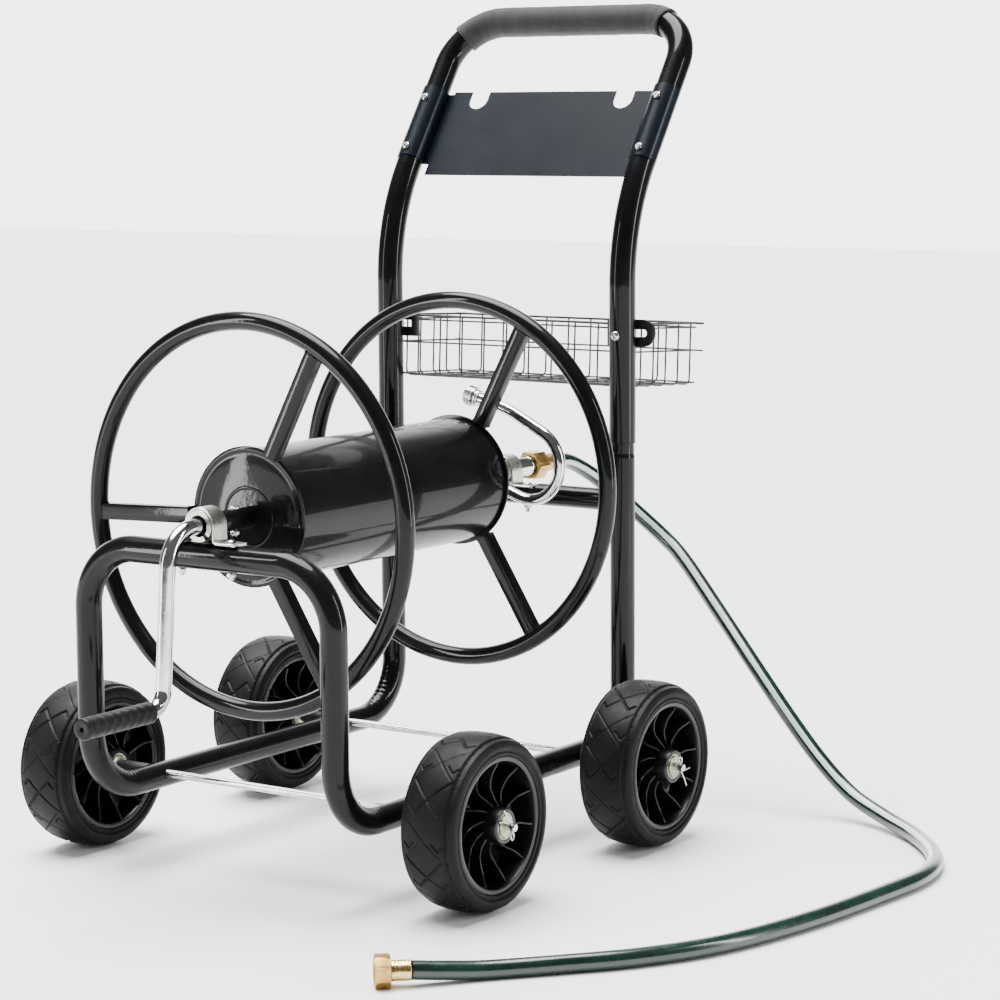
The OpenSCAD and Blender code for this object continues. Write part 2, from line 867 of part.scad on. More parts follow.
// Tube that turns in the front bearing and takes the crank
module drive_stub() {
    color("#141414") difference() {
        on_reel_axis(-300) collar(95, shaft_d, crank_d + 0.2);
        translate([0, -242, reel_z - 20]) cylinder(h = 40, d = 6.4);
        translate([0, -228, reel_z]) rotate([0, 90, 0]) cylinder(h = 40, d = 6.4);
    }
}

module stub_bolt() {
    color("#d0d2d4") translate([0, -242, reel_z]) {
        translate([0, 0, -19.5]) cylinder(h = 32.5, d = 6);
        translate([0, 0, shaft_d / 2 + 0.1]) hexagon(4, 10);
    }
}

module stub_nut() {
    color("#c4c6c8") translate([0, -242, reel_z - shaft_d / 2 - 5.1]) difference() {
        hexagon(5, 10);
        translate([0, 0, -1]) cylinder(h = 7, d = 6.1);
    }
}

// Bent tube crank: out of the stub, down and slightly outwards, then forward under the grip
module crank_arm() {
    inside_y = -225;
    color("#d5d7d9") difference() {
        translate([0, inside_y, reel_z]) rotate([90, 0, 0])
            bent_tube([
                [inside_y - crank_bend_y, crank_top_bend, crank_turn, -90],
                [crank_reach, crank_low_bend, crank_turn, 180],
                [grip_pin, 0, 0, 0]
            ], crank_d, 2);
        translate([0, -242, reel_z - 20]) cylinder(h = 40, d = 6.4);
    }
}

// Plastic sleeve that turns on the crank's end
module crank_grip() {
    start = grip_start_y - 0.5;
    color("#1e1e1e") translate([0, -handle_rear_y, crank_grip_z]) rotate([-90, 0, 0]) difference() {
        cylinder(h = start + handle_rear_y, d = grip_d);
        translate([0, 0, grip_end]) cylinder(h = start + handle_rear_y, d = crank_d + 2 * running_gap);
        translate([0, 0, -1]) cylinder(h = grip_end + 2, d = 5);
    }
}

// Hollow rear axle: turns in the rear bearing and feeds the gooseneck
module water_axle() {
    color("#c4c6c8") difference() {
        union() {
            on_reel_axis(194) cylinder(h = swivel_start - 194, d = shaft_d);
            on_reel_axis(swivel_start - 1) cylinder(h = 21, d = 18);
        }
        on_reel_axis(200) cylinder(h = 200, d = 12);
        translate([0, gooseneck_y, reel_z]) rotate([0, 110, 0]) cylinder(h = 30, d = gooseneck_d - 4);
    }
}

// Bent pipe from the axle's side, round and over to the outlet
module gooseneck() {
    color("#d5d7d9") difference() {
        translate([0, gooseneck_y, reel_z]) rotate([0, 110, 0])
            bent_tube([[70.2, 46.8, 173, 180], [45, 150, 13, 0], [28, 0, 0, 0]], gooseneck_d, 2);
        on_reel_axis(gooseneck_y - 20) cylinder(h = 40, d = shaft_d);
    }
}

// Outlet: a hexagon and a male hose thread at the gooseneck's end
module outlet_fitting() {
    color("#cfd1d3") translate([0, gooseneck_y, reel_z]) rotate([0, 110, 0])
        translate([0, 0, 70.2]) rotate([0, 0, 180]) bend_end(46.8, 173) translate([0, 0, 45])
            bend_end(150, 13) translate([0, 0, 28]) difference() {
                union() {
                    cylinder(h = 6, d = 21);
                    translate([0, 0, 6]) cylinder(h = 14, d = 26);
                }
                translate([0, 0, -1]) cylinder(h = 22, d = 11);
            }
}

// ---------------------------------------------------------------- nodes

front_loop();
left_side_rail();
right_side_rail();
crossbar();
left_upright();
right_upright();
handle_tube();
handle_grip();
tool_panel();
panel_screws();
front_axle();
rear_axle();
axle_spacers();
axle_washers();
hairpin_clips();
split_pins();
bearing_saddles();
saddle_bushes();
saddle_bolts();
basket_bolts();
frame_nuts();
basket_front();
basket_back();
basket_ends();
basket_floor();
basket_hangers();
swivel_body();
swivel_seal();
inlet_shank();
hose();
hose_end_shank();
drum_shell();
drum_front_disc();
drum_rear_disc();
front_ring();
rear_ring();
spokes();
drive_stub();
stub_bolt();
stub_nut();
crank_arm();
water_axle();
gooseneck();
outlet_fitting();
crank_grip();
inlet_nut();
hose_end_nut();
tyre_front_left();
rim_front_left();
bearing_front_left();
tyre_front_right();
rim_front_right();
bearing_front_right();
tyre_rear_left();
rim_rear_left();
bearing_rear_left();
tyre_rear_right();
rim_rear_right();
bearing_rear_right();
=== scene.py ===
"""Looks of the garden hose reel cart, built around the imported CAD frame. Lengths in the
shape code are in millimetres and are scaled to metres when a piece is made."""

import json
from math import atan2, ceil, cos, pi, radians, sin, sqrt

import bpy
import numpy as np
from mathutils import Matrix, Vector


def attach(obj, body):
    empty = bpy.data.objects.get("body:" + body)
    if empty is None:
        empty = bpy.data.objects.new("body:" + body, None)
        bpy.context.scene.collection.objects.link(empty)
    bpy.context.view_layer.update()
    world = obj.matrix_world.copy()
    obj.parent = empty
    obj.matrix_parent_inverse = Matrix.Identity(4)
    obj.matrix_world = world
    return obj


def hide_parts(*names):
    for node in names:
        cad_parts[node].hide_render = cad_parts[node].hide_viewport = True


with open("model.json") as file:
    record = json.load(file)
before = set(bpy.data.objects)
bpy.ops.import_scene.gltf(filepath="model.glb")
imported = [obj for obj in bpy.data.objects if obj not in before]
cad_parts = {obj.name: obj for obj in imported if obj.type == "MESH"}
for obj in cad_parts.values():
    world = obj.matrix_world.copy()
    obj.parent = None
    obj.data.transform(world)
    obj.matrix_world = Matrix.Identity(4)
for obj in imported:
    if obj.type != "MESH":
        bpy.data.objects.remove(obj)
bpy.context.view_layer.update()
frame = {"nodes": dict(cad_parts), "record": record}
MM = 0.001

# Main sizes and places of the CAD, in millimetres
SIDE, POST_Y, UP_Y, RAIL_Z = 185.0, -295.0, 318.0, 100.0
TUBE_R, UPRIGHT_R, FRAME_BEND = 16, 17, 75
REEL_Z, DRUM_R, RING_R = 442, 80, 232
FRONT_RING_Y, REAR_RING_Y = -220, 208
STRAP_BOLT_X, FRONT_SEAT_Z, REAR_SEAT_Z, CROSSBAR_Z, CROSSBAR_R = 37.5, 421.0, 422.5, 414, 14.25
HANGER_BOLT_Z = 628.5
CRANK_GRIP_Z = 238.5
FRONT_AXLE_Y, REAR_AXLE_Y, AXLE_Z, WHEEL_X, PIN_X = -174, 198, 104, 293, 345

# ------------------------------------------------------------------ camera


def make_camera():
    yaw, pitch, roll = radians(34.52), radians(7.52), radians(-0.37)
    look = Vector((-sin(yaw) * cos(pitch), cos(yaw) * cos(pitch), -sin(pitch)))
    level = Vector((cos(yaw), sin(yaw), 0))
    upward = level.cross(look)
    right = cos(roll) * level + sin(roll) * upward
    up = -sin(roll) * level + cos(roll) * upward
    turn = Matrix((right, up, -look)).transposed().to_4x4()
    data = bpy.data.cameras.new("camera")
    data.lens, data.sensor_width = 108.2, 36
    camera = bpy.data.objects.new("camera", data)
    camera.matrix_world = Matrix.Translation((2.2376, -2.9459, 0.9246)) @ turn
    bpy.context.scene.collection.objects.link(camera)
    bpy.context.scene.camera = camera


make_camera()

# ------------------------------------------------------------------ materials


class Nodes:
    """A material's node tree, with short calls for the nodes used here."""

    def __init__(self, name):
        self.material = bpy.data.materials.new(name)
        self.material.use_nodes = True
        self.tree = self.material.node_tree
        self.shader = self.tree.nodes["Principled BSDF"]
        self.place = self.tree.nodes.new("ShaderNodeTexCoord").outputs["Object"]

    def link(self, a, b):
        self.tree.links.new(a, b)

    def noise(self, scale, detail=4, rough=0.55):
        node = self.tree.nodes.new("ShaderNodeTexNoise")
        node.inputs["Scale"].default_value = scale
        node.inputs["Detail"].default_value = detail
        node.inputs["Roughness"].default_value = rough
        self.link(self.place, node.inputs["Vector"])
        return node.outputs["Fac"]

    def cells(self, scale):
        node = self.tree.nodes.new("ShaderNodeTexVoronoi")
        node.inputs["Scale"].default_value = scale
        self.link(self.place, node.inputs["Vector"])
        return node.outputs["Distance"]

    def ramp(self, value, *stops):
        node = self.tree.nodes.new("ShaderNodeValToRGB")
        while len(node.color_ramp.elements) < len(stops):
            node.color_ramp.elements.new(0.5)
        for element, (at, colour) in zip(node.color_ramp.elements, stops):
            element.position = at
            element.color = (*colour, 1)
        self.link(value, node.inputs["Fac"])
        return node.outputs["Color"]

    def spread(self, value, low, high):
        """Stretches the middle of a noise's range to a range from low to high."""
        node = self.tree.nodes.new("ShaderNodeMapRange")
        for name, number in (("From Min", 0.3), ("From Max", 0.7), ("To Min", low), ("To Max", high)):
            node.inputs[name].default_value = number
        self.link(value, node.inputs["Value"])
        return node.outputs["Result"]

    def bump(self, value, depth, strength=1.0, under=None):
        node = self.tree.nodes.new("ShaderNodeBump")
        node.inputs["Strength"].default_value = strength
        node.inputs["Distance"].default_value = depth
        self.link(value, node.inputs["Height"])
        if under is not None:
            self.link(under, node.inputs["Normal"])
        return node.outputs["Normal"]


def finish_material(name, colours, rough, metal=0.0, patches=9, grain=700, depth=0.00002,
                    coat=0.0, coat_rough=0.05, specular=0.5, marks=None):
    """Colour mottled between two tones, uneven gloss, and a fine grain in the surface."""
    n = Nodes(name)
    mottle = n.noise(patches, 6, 0.6)
    low, high = colours
    stops = [(0.36, low), (0.64, high)]
    n.link(n.ramp(mottle, *stops), n.shader.inputs["Base Color"])
    smudge = n.noise(patches * 5, 5, 0.65)
    n.link(n.spread(smudge, rough[0], rough[1]), n.shader.inputs["Roughness"])
    normal = n.bump(n.noise(grain, 3, 0.5), depth)
    if marks:
        normal = n.bump(n.noise(marks[0], 2, 0.4), marks[1], under=normal)
    n.link(normal, n.shader.inputs["Normal"])
    n.shader.inputs["Metallic"].default_value = metal
    n.shader.inputs["Specular IOR Level"].default_value = specular
    n.shader.inputs["IOR"].default_value = 1.5
    n.shader.inputs["Coat Weight"].default_value = coat
    n.shader.inputs["Coat Roughness"].default_value = coat_rough
    n.shader.inputs["Coat IOR"].default_value = 1.4
    if coat:
        n.link(n.bump(n.noise(160, 2, 0.5), 0.00004), n.shader.inputs["Coat Normal"])
    return n.material


MATERIALS = {
    "frame_paint": finish_material(
        "frame_paint", ((0.0022, 0.0024, 0.0028), (0.0042, 0.0044, 0.005)), (0.26, 0.4),
        patches=7, grain=420, depth=0.00003, coat=0.42, coat_rough=0.05, specular=0.05),
    "panel_paint": finish_material(
        "panel_paint", ((0.002, 0.0042, 0.008), (0.0035, 0.007, 0.012)), (0.3, 0.42),
        patches=6, grain=520, depth=0.00004, coat=0.2, coat_rough=0.15, specular=0.12),
    "basket_paint": finish_material(
        "basket_paint", ((0.003, 0.003, 0.0033), (0.007, 0.007, 0.0075)), (0.3, 0.48),
        patches=30, grain=900, depth=0.00004),
    "chrome": finish_material(
        "chrome", ((0.56, 0.57, 0.58), (0.76, 0.77, 0.78)), (0.05, 0.14), metal=1.0,
        patches=28, grain=260, depth=0.000025),
    "zinc": finish_material(
        "zinc", ((0.40, 0.42, 0.37), (0.66, 0.67, 0.60)), (0.24, 0.42), metal=1.0,
        patches=60, grain=600, depth=0.00005),
    "bearing_zinc": finish_material(
        "bearing_zinc", ((0.30, 0.31, 0.20), (0.60, 0.60, 0.46)), (0.25, 0.45), metal=1.0,
        patches=90, grain=700, depth=0.00005),
    "bright_steel": finish_material(
        "bright_steel", ((0.52, 0.53, 0.54), (0.74, 0.75, 0.76)), (0.16, 0.3), metal=1.0,
        patches=60, grain=800, depth=0.00003),
    "brass": finish_material(
        "brass", ((0.36, 0.20, 0.055), (0.66, 0.44, 0.15)), (0.28, 0.46), metal=1.0,
        patches=70, grain=520, depth=0.00006),
    "brass_bright": finish_material(
        "brass_bright", ((0.66, 0.46, 0.17), (0.86, 0.66, 0.32)), (0.16, 0.3), metal=1.0,
        patches=80, grain=700, depth=0.00004),
    "grip_plastic": finish_material(
        "grip_plastic", ((0.002, 0.002, 0.0022), (0.005, 0.005, 0.0053)), (0.4, 0.54),
        patches=40, grain=1100, depth=0.00005, specular=0.2),
    "tyre_rubber": finish_material(
        "tyre_rubber", ((0.002, 0.002, 0.0022), (0.005, 0.005, 0.0053)), (0.42, 0.56),
        patches=14, grain=900, depth=0.00009, specular=0.12),
    "rim_plastic": finish_material(
        "rim_plastic", ((0.0022, 0.0022, 0.0024), (0.0048, 0.0048, 0.005)), (0.26, 0.38),
        patches=22, grain=800, depth=0.00004, specular=0.36),
    "spacer_plastic": finish_material(
        "spacer_plastic", ((0.008, 0.008, 0.008), (0.016, 0.016, 0.016)), (0.4, 0.55),
        patches=40, grain=900, depth=0.00005),
    "hose_rubber": finish_material(
        "hose_rubber", ((0.0012, 0.0105, 0.0062), (0.003, 0.021, 0.0125)), (0.2, 0.3),
        patches=16, grain=650, depth=0.00005, coat=0.5, coat_rough=0.12, marks=(60, 0.0002)),
    "hose_stripe": finish_material(
        "hose_stripe", ((0.48, 0.60, 0.56), (0.66, 0.77, 0.72)), (0.24, 0.36),
        patches=18, grain=650, depth=0.00005, coat=0.4, coat_rough=0.15, marks=(60, 0.0002)),
    "seal_rubber": finish_material(
        "seal_rubber", ((0.008, 0.008, 0.008), (0.016, 0.016, 0.016)), (0.5, 0.65),
        patches=60, grain=900, depth=0.00005),
    "bore_shadow": finish_material(
        "bore_shadow", ((0.004, 0.004, 0.004), (0.01, 0.01, 0.01)), (0.6, 0.8),
        patches=60, grain=900, depth=0.00005),
}


def foam_material():
    n = Nodes("foam")
    n.link(n.ramp(n.noise(30, 5), (0.35, (0.006, 0.006, 0.0065)), (0.65, (0.014, 0.014, 0.0145))),
           n.shader.inputs["Base Color"])
    n.link(n.spread(n.noise(120), 0.82, 0.95), n.shader.inputs["Roughness"])
    pores = n.bump(n.cells(620), 0.00035, 0.8)
    n.link(n.bump(n.noise(45, 4), 0.0008, 0.6, under=pores), n.shader.inputs["Normal"])
    n.shader.inputs["Sheen Weight"].default_value = 0.25
    n.shader.inputs["Sheen Roughness"].default_value = 0.5
    return n.material


MATERIALS["foam"] = foam_material()
for cad_part in frame["record"]["subparts"]:
    cad_mesh = frame["nodes"][cad_part["node"]].data
    cad_mesh.materials.clear()
    cad_mesh.materials.append(MATERIALS[cad_part["material_slot"]])

# ------------------------------------------------------------------ shape code


def unit(v):
    v = np.asarray(v, float)
    return v / np.linalg.norm(v)


def turned(axis, degrees):
    return np.array(Matrix.Rotation(radians(degrees), 3, axis))


def facing(direction, hint=(0, 0, 1)):
    """Axes (columns x, y, z) whose z points along direction and x as near to hint as it can."""
    z = unit(direction)
    x = np.asarray(hint, float) - np.dot(hint, z) * z
    x = unit(x)
    return np.column_stack([x, np.cross(z, x), z])


class Shape:
    """Vertices and faces of one piece, in millimetres. Each face keeps a material number."""

    def __init__(self):
        self.points, self.faces, self.paint, self.total = [], [], [], 0

    def add(self, points, faces, paint=0):
        points = np.asarray(points, float).reshape(-1, 3)
        self.points.append(points)
        self.faces += [[i + self.total for i in f] for f in faces]
        self.paint += list(paint) if hasattr(paint, "__len__") else [paint] * len(faces)
        self.total += len(points)

    def grid(self, rows, around=True, ends=False, paint=0, loop=False):
        """Skin over rows of points. around joins each row's ends, and loop the last row to the first."""
        rows = np.asarray(rows, float)
        n, m = rows.shape[:2]
        faces, numbers = [], []
        for i in range(n if loop else n - 1):
            j = (i + 1) % n
            for k in range(m if around else m - 1):
                h = (k + 1) % m
                faces.append([i * m + k, i * m + h, j * m + h, j * m + k])
                numbers.append(paint(i, k) if callable(paint) else paint)
        if ends:
            faces.append(list(range(m - 1, -1, -1)))
            faces.append([(n - 1) * m + k for k in range(m)])
            numbers += [numbers[0], numbers[-1]]
        self.add(rows, faces, numbers)
        return self

    def lathe(self, profile, sides=64, axes=None, at=(0, 0, 0), limit=None, paint=0):
        """Profile of [radius, height] turned about the z of axes. limit(angle) caps the radius, for nuts."""
        axes = np.eye(3) if axes is None else axes
        angles = np.arange(sides) * 2 * pi / sides
        rows = []
        for r, z in profile:
            radii = np.full(sides, float(r))
            if limit:
                radii = np.minimum(radii, [limit(a) for a in angles])
            rows.append(np.column_stack([radii * np.cos(angles), radii * np.sin(angles), np.full(sides, z)]))
        rows = np.array(rows) @ axes.T + np.asarray(at, float)
        return self.grid(rows, paint=paint)

    def sweep(self, path, radius, sides=32, ends=True, loop=False, hint=None, paint=0, section=None,
              shift=None):
        """Round bar along a path. radius is a number or one per point; section is an outline instead."""
        path = np.asarray(path, float)
        ahead = np.roll(path, -1, 0) - path
        behind = path - np.roll(path, 1, 0)
        if not loop:
            ahead[-1], behind[0] = behind[-1], ahead[0]
        way = np.array([unit(unit(a) + unit(b)) for a, b in zip(ahead, behind)])
        if hint is None:
            hint = (0, 0, 1) if abs(way[0][2]) < 0.9 else (1, 0, 0)
        x = unit(np.asarray(hint, float) - np.dot(hint, way[0]) * way[0])
        radii = np.broadcast_to(np.asarray(radius, float), (len(path),))
        if section is None:
            angles = np.arange(sides) * 2 * pi / sides
            section = np.column_stack([np.cos(angles), np.sin(angles)])
        else:
            section = np.asarray(section, float)
        rows = []
        for i, z in enumerate(way):
            x = unit(x - np.dot(x, z) * z)
            y = np.cross(z, x)
            ring = section * radii[i]
            row = path[i] + ring[:, :1] * x + ring[:, 1:] * y
            rows.append(shift(i, row, path[i]) if shift else row)
        return self.grid(rows, ends=ends and not loop, loop=loop, paint=paint)


def make(name, shape, body, slot, replaces=(), materials=None, smooth=38):
    """Turns a shape into an object that rides on a CAD body and stands for CAD nodes."""
    mesh = bpy.data.meshes.new(name)
    mesh.from_pydata((np.vstack(shape.points) * MM).tolist(), [], shape.faces)
    for material in materials or [slot]:
        mesh.materials.append(MATERIALS[material])
    mesh.polygons.foreach_set("material_index", np.array(shape.paint, np.int32))
    mesh.polygons.foreach_set("use_smooth", np.ones(len(shape.faces), bool))
    mesh.validate()
    mesh.update()
    mesh.set_sharp_from_angle(angle=radians(smooth))
    piece = bpy.data.objects.new(name, mesh)
    bpy.context.scene.collection.objects.link(piece)
    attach(piece, body)
    if replaces:
        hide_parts(*replaces)
    return piece


def bent(origin, axes, steps, fine=3.0):
    """Path of a bent tube, as in the CAD: steps of [straight, bend radius, angle, roll before the bend]."""
    at, axes = np.asarray(origin, float), np.asarray(axes, float)
    points = [at]
    for straight, radius, angle, roll in steps:
        if straight > 0:
            at = at + axes[:, 2] * straight
            points.append(at)
        axes = axes @ turned("Z", roll)
        if angle:
            count = ceil(angle / fine)
            for i in range(1, count + 1):
                a = radians(angle) * i / count
                points.append(at + axes @ np.array([radius * (1 - cos(a)), 0, radius * sin(a)]))
            at = points[-1]
            axes = axes @ turned("Y", angle)
    return np.array(points), axes


def finer(path, step):
    """The same path with points no further apart than step."""
    out = [path[0]]
    for a, b in zip(path[:-1], path[1:]):
        count = max(1, ceil(np.linalg.norm(b - a) / step))
        out += [a + (b - a) * i / count for i in range(1, count + 1)]
    return np.array(out)


def polygon_limit(flats, sides, turn=0.0):
    """Radius of a regular polygon with that distance between its flats, at an angle."""
    step = 2 * pi / sides

    def limit(angle):
        a = (angle - turn) % step - step / 2
        return flats / 2 / cos(a)

    return limit


# ------------------------------------------------------------------ hose

ROUTE = [
    (0, 436, 442), (1, 470, 439), (10, 507, 421), (33, 535, 393), (65, 550, 362), (105, 555, 330),
    (142, 546, 303), (215, 516, 242), (286, 487, 181), (349, 470, 120), (402, 460, 70), (454, 448, 34),
    (514, 424, 17), (572, 386, 11), (626, 328, 10.5), (660, 270, 10.5), (676, 200, 10.5),
    (672, 110, 10.5), (655, -40, 10.5), (622, -175, 10.5), (574, -267, 10.5), (520, -333, 10.5),
    (464, -396, 10.5), (434, -433, 14), (410.8, -461.1, 17.5),
]
HOSE_D = 21


def smooth_route(points, steps=12):
    p = [np.array(q, float) for q in points]
    p = [2 * p[0] - p[1]] + p + [2 * p[-1] - p[-2]]
    out = []
    for a, b, c, d in zip(p, p[1:], p[2:], p[3:]):
        for k in range(steps):
            t = k / steps
            out.append(0.5 * (2 * b + (c - a) * t + (2 * a - 5 * b + 4 * c - d) * t * t
                              + (3 * b - a - 3 * c + d) * t ** 3))
    return np.array(out + [p[-2]])


def build_hose():
    path = smooth_route(ROUTE)
    sides = 48
    # The stripe is an eighth of the way round; it faces the front right where the hose comes down
    stripe = range(11, 16)
    shape = Shape().sweep(path, HOSE_D / 2, sides, hint=(0, 0, 1),
                          paint=lambda i, k: int(k in stripe))
    piece = make("garden_hose", shape, "root", "hose_rubber", ["hose"], ["hose_rubber", "hose_stripe"])
    length = float(np.linalg.norm(np.diff(path, axis=0), axis=1).sum()) * MM
    return piece, path, length


hose, hose_path, hose_length = build_hose()

# Couplings at the hose's ends: nut with worn corners, and a crimped ferrule


def coupling_nut(name, axes, at, length, sides, turn, body, node):
    flat, bore, chamfer = 35 / 2, 13.3, 1.6
    corner = flat / cos(pi / sides)
    profile = [(bore, 7.0), (bore, 1.2), (bore + 1.0, 0), (flat - 0.8, 0), (flat + 0.2, 0.35),
               (corner, chamfer), (corner, length - chamfer), (flat + 0.2, length - 0.35),
               (flat - 0.8, length), (9.2, length), (9.0, length - 0.8), (8.7, length - 4)]
    shape = Shape().lathe(profile, 16 * sides, axes, at, polygon_limit(2 * flat, sides, turn))
    # Thread inside the nut's mouth
    turns = [(bore - (0.9 if i % 2 else 0.0), 1.6 + i * 0.75) for i in range(15)]
    shape.lathe(turns + [(8.6, 12.6)], 64, axes, at)
    return make(name, shape, body, "brass", [node])


def coupling_shank(name, axes, at, nut, total, node, look):
    """Ferrule with crimped rings, from inside its nut to its end on the hose."""
    ferrule = [(8.5, nut - 4), (8.5, nut + 0.5), (10.4, nut + 0.5), (11.3, nut + 1.1), (11.5, nut + 2.2)]
    start, stop = nut + 3.0, total - 1.2
    rings = 5
    for i in range(rings):
        a = start + (stop - start) * i / rings
        b = start + (stop - start) * (i + 1) / rings
        w = b - a
        ferrule += [(11.5, a), (11.5, a + 0.45 * w), (10.95, a + 0.6 * w), (10.95, a + 0.85 * w)]
    ferrule += [(11.5, stop), (11.35, total - 0.4), (10.9, total), (10.4, total)]

    def crimp(angle):
        return 11.15 + 0.4 * abs(cos(4 * angle))

    shape = Shape().lathe(ferrule, 96, axes, at, crimp)
    return make(name, shape, "root", "brass", [node], [look])


AWAY = np.array([cos(radians(41)), sin(radians(41)), 0])
END = np.array([381, -487, 17.5])
END_NUT_LENGTH = 17.4
end_axes = facing(AWAY)
end_nut = coupling_nut("hose_end_nut_brass", end_axes, END, END_NUT_LENGTH, 8, pi / 8, "hose_end_nut",
                       "hose_end_nut")
end_shank = coupling_shank("hose_end_ferrule", end_axes, END, END_NUT_LENGTH, 39, "hose_end_shank",
                           "brass_bright")

REAR = facing((0, 1, 0))
INLET = (0, 376, REEL_Z)
INLET_NUT_LENGTH = 25
coupling_nut("inlet_nut_brass", REAR, INLET, INLET_NUT_LENGTH, 6, pi / 6, "inlet_nut", "inlet_nut")
coupling_shank("inlet_ferrule", REAR, INLET, INLET_NUT_LENGTH, 60, "inlet_shank", "brass")

# ------------------------------------------------------------------ frame tubes

LEAN = 34.3
FOAM_R = 20.5
JOINT = np.array([0, UP_Y + 280 * (1 - cos(radians(LEAN))), 690 + 280 * sin(radians(LEAN))])
SLOPE = turned("X", -LEAN)


def on_slope(x, out, up):
    return JOINT + SLOPE @ np.array([x, out, up], float)


def wrinkled(centre, amount=1.5):
    """Folds on the inside of a bend, where the tube's wall was squeezed."""
    centre = np.array(centre, float)
    pitch, reach = 8.5, FRAME_BEND + 3

    def shift(i, row, middle):
        away = row - middle
        inward = centre - middle
        distance = np.linalg.norm(inward)
        if distance > reach:
            return row
        side = away @ (inward / distance) / np.linalg.norm(away, axis=1)
        turn = atan2(inward[2], abs(inward[1]) + 1e-9)
        wave = sin(turn * FRAME_BEND * 2 * pi / pitch) * amount
        weight = np.clip(side, 0, 1)[:, None] ** 4
        edge = min(1.0, max(0.0, 1 - abs(abs(turn) - pi / 4) / (pi / 4) * 0.9))
        return middle + away * (1 + wave * edge * weight / TUBE_R)

    return shift


def build_base():
    """The front loop, and on each side a rail and the upright tube that sits on its neck."""
    front = POST_Y + FRAME_BEND
    loop_path, _ = bent((-SIDE, front, RAIL_Z), turned("X", 90),
                        [[0, FRAME_BEND, 90, 90], [155, FRAME_BEND, 90, -90],
                         [220, FRAME_BEND, 90, 0], [155, FRAME_BEND, 90, 90]], 1.2)
    left, right = [wrinkled((sign * SIDE, front, RAIL_Z + FRAME_BEND)) for sign in (-1, 1)]

    def fold(i, row, middle):
        if middle[2] > RAIL_Z + FRAME_BEND + 1:
            return row
        return left(i, row, middle) if middle[0] < 0 else right(i, row, middle)

    loop = Shape().sweep(loop_path, TUBE_R, 48, shift=fold)
    make("front_loop_tube", loop, "root", "frame_paint", ["front_loop"])
    # Swaged neck at the rail's top, and the rolled lip of the upper tube that sits on it
    neck = [(16, 471), (15.85, 472.2), (15.45, 474.5), (15.32, 477), (15.3, 480), (15.3, 491)]
    lip = [(15.4, 489.6), (16.4, 489.2), (16.85, 489.6), (17, 490.4), (17, 491)]
    for sign, name in ((-1, "left"), (1, "right")):
        path, _ = bent((sign * SIDE, front, RAIL_Z), turned("X", -90),
                       [[463, FRAME_BEND, 90, -90], [296, 0, 0, 0]], 2)
        bend = wrinkled((sign * SIDE, UP_Y - FRAME_BEND, RAIL_Z + FRAME_BEND), 0.8)
        low = Shape().sweep(path, TUBE_R, 48, ends=False,
                            shift=lambda i, row, mid: bend(i, row, mid) if mid[2] < 176 else row)
        low.lathe(neck, 48, None, (sign * SIDE, UP_Y, 0))
        make(f"{name}_rail_tube", low, "root", "frame_paint", [f"{name}_side_rail"])
        path, _ = bent((sign * SIDE, UP_Y, 490), np.eye(3), [[200, 280, LEAN, 90]], 1.5)
        top = Shape().sweep(path, UPRIGHT_R, 48, ends=False)
        top.lathe(lip, 48, None, (sign * SIDE, UP_Y, 0))
        make(f"{name}_upright_tube", top, "root", "frame_paint", [f"{name}_upright"])


def build_handle():
    straight, bend, across = 155.5, 70, 230
    path, _ = bent(on_slope(-SIDE, 0, 0), SLOPE,
                   [[straight, bend, 90, 0], [across, bend, 90, 0], [straight, 0, 0, 0]], 2)
    handle = Shape().sweep(path, UPRIGHT_R, 48)
    # The handle's tube ends in a fine shadow line on top of the uprights
    for sign in (-1, 1):
        handle.lathe([(16.4, -0.2), (17.12, 0.2), (17.12, 1.2), (16.9, 1.6)], 48, SLOPE,
                     on_slope(sign * SIDE, 0, 0))
    make("handle_tube_painted", handle, "root", "frame_paint", ["handle_tube"])
    # Foam sleeve: square-cut ends and a slightly uneven skin
    bare, grip_end = 37, 27
    start, axes = bent(on_slope(-SIDE, 0, straight), SLOPE, [[0, bend, bare, 0]], 3)
    path, _ = bent(start[-1], axes, [[0, bend, 90 - bare, 0], [across, bend, grip_end, 0]], 2)
    path = finer(path, 4)

    def lumps(i, row, middle):
        away = row - middle
        wave = 0.12 * sin(i * 0.9) + 0.1 * sin(i * 0.37 + 1.3)
        return middle + away * (1 + (wave - 0.25) / FOAM_R)

    radii = np.full(len(path), FOAM_R)
    radii[0] = radii[-1] = FOAM_R - 0.5
    foam = Shape().sweep(path, radii, 48, shift=lumps)
    make("foam_grip", foam, "root", "foam", ["handle_grip"], smooth=50)


build_base()
build_handle()

# ------------------------------------------------------------------ reel


def ring_of(y, name, node):
    sides = 240
    angles = np.arange(sides) * 2 * pi / sides
    path = np.column_stack([RING_R * np.cos(angles), np.full(sides, y), REEL_Z + RING_R * np.sin(angles)])
    make(name, Shape().sweep(path, 11.25, 32, loop=True, hint=(0, 1, 0)), "reel", "frame_paint", [node])


def weld(shape, path, size=1.7):
    """A bead of small overlapping ripples along a path."""
    path = finer(np.asarray(path, float), 0.9)
    radii = [size * (0.85 + 0.22 * abs(sin(i * 0.9)) + 0.08 * sin(i * 0.31)) for i in range(len(path))]
    radii[0] = radii[-1] = size * 0.4
    return shape.sweep(path, radii, 10)


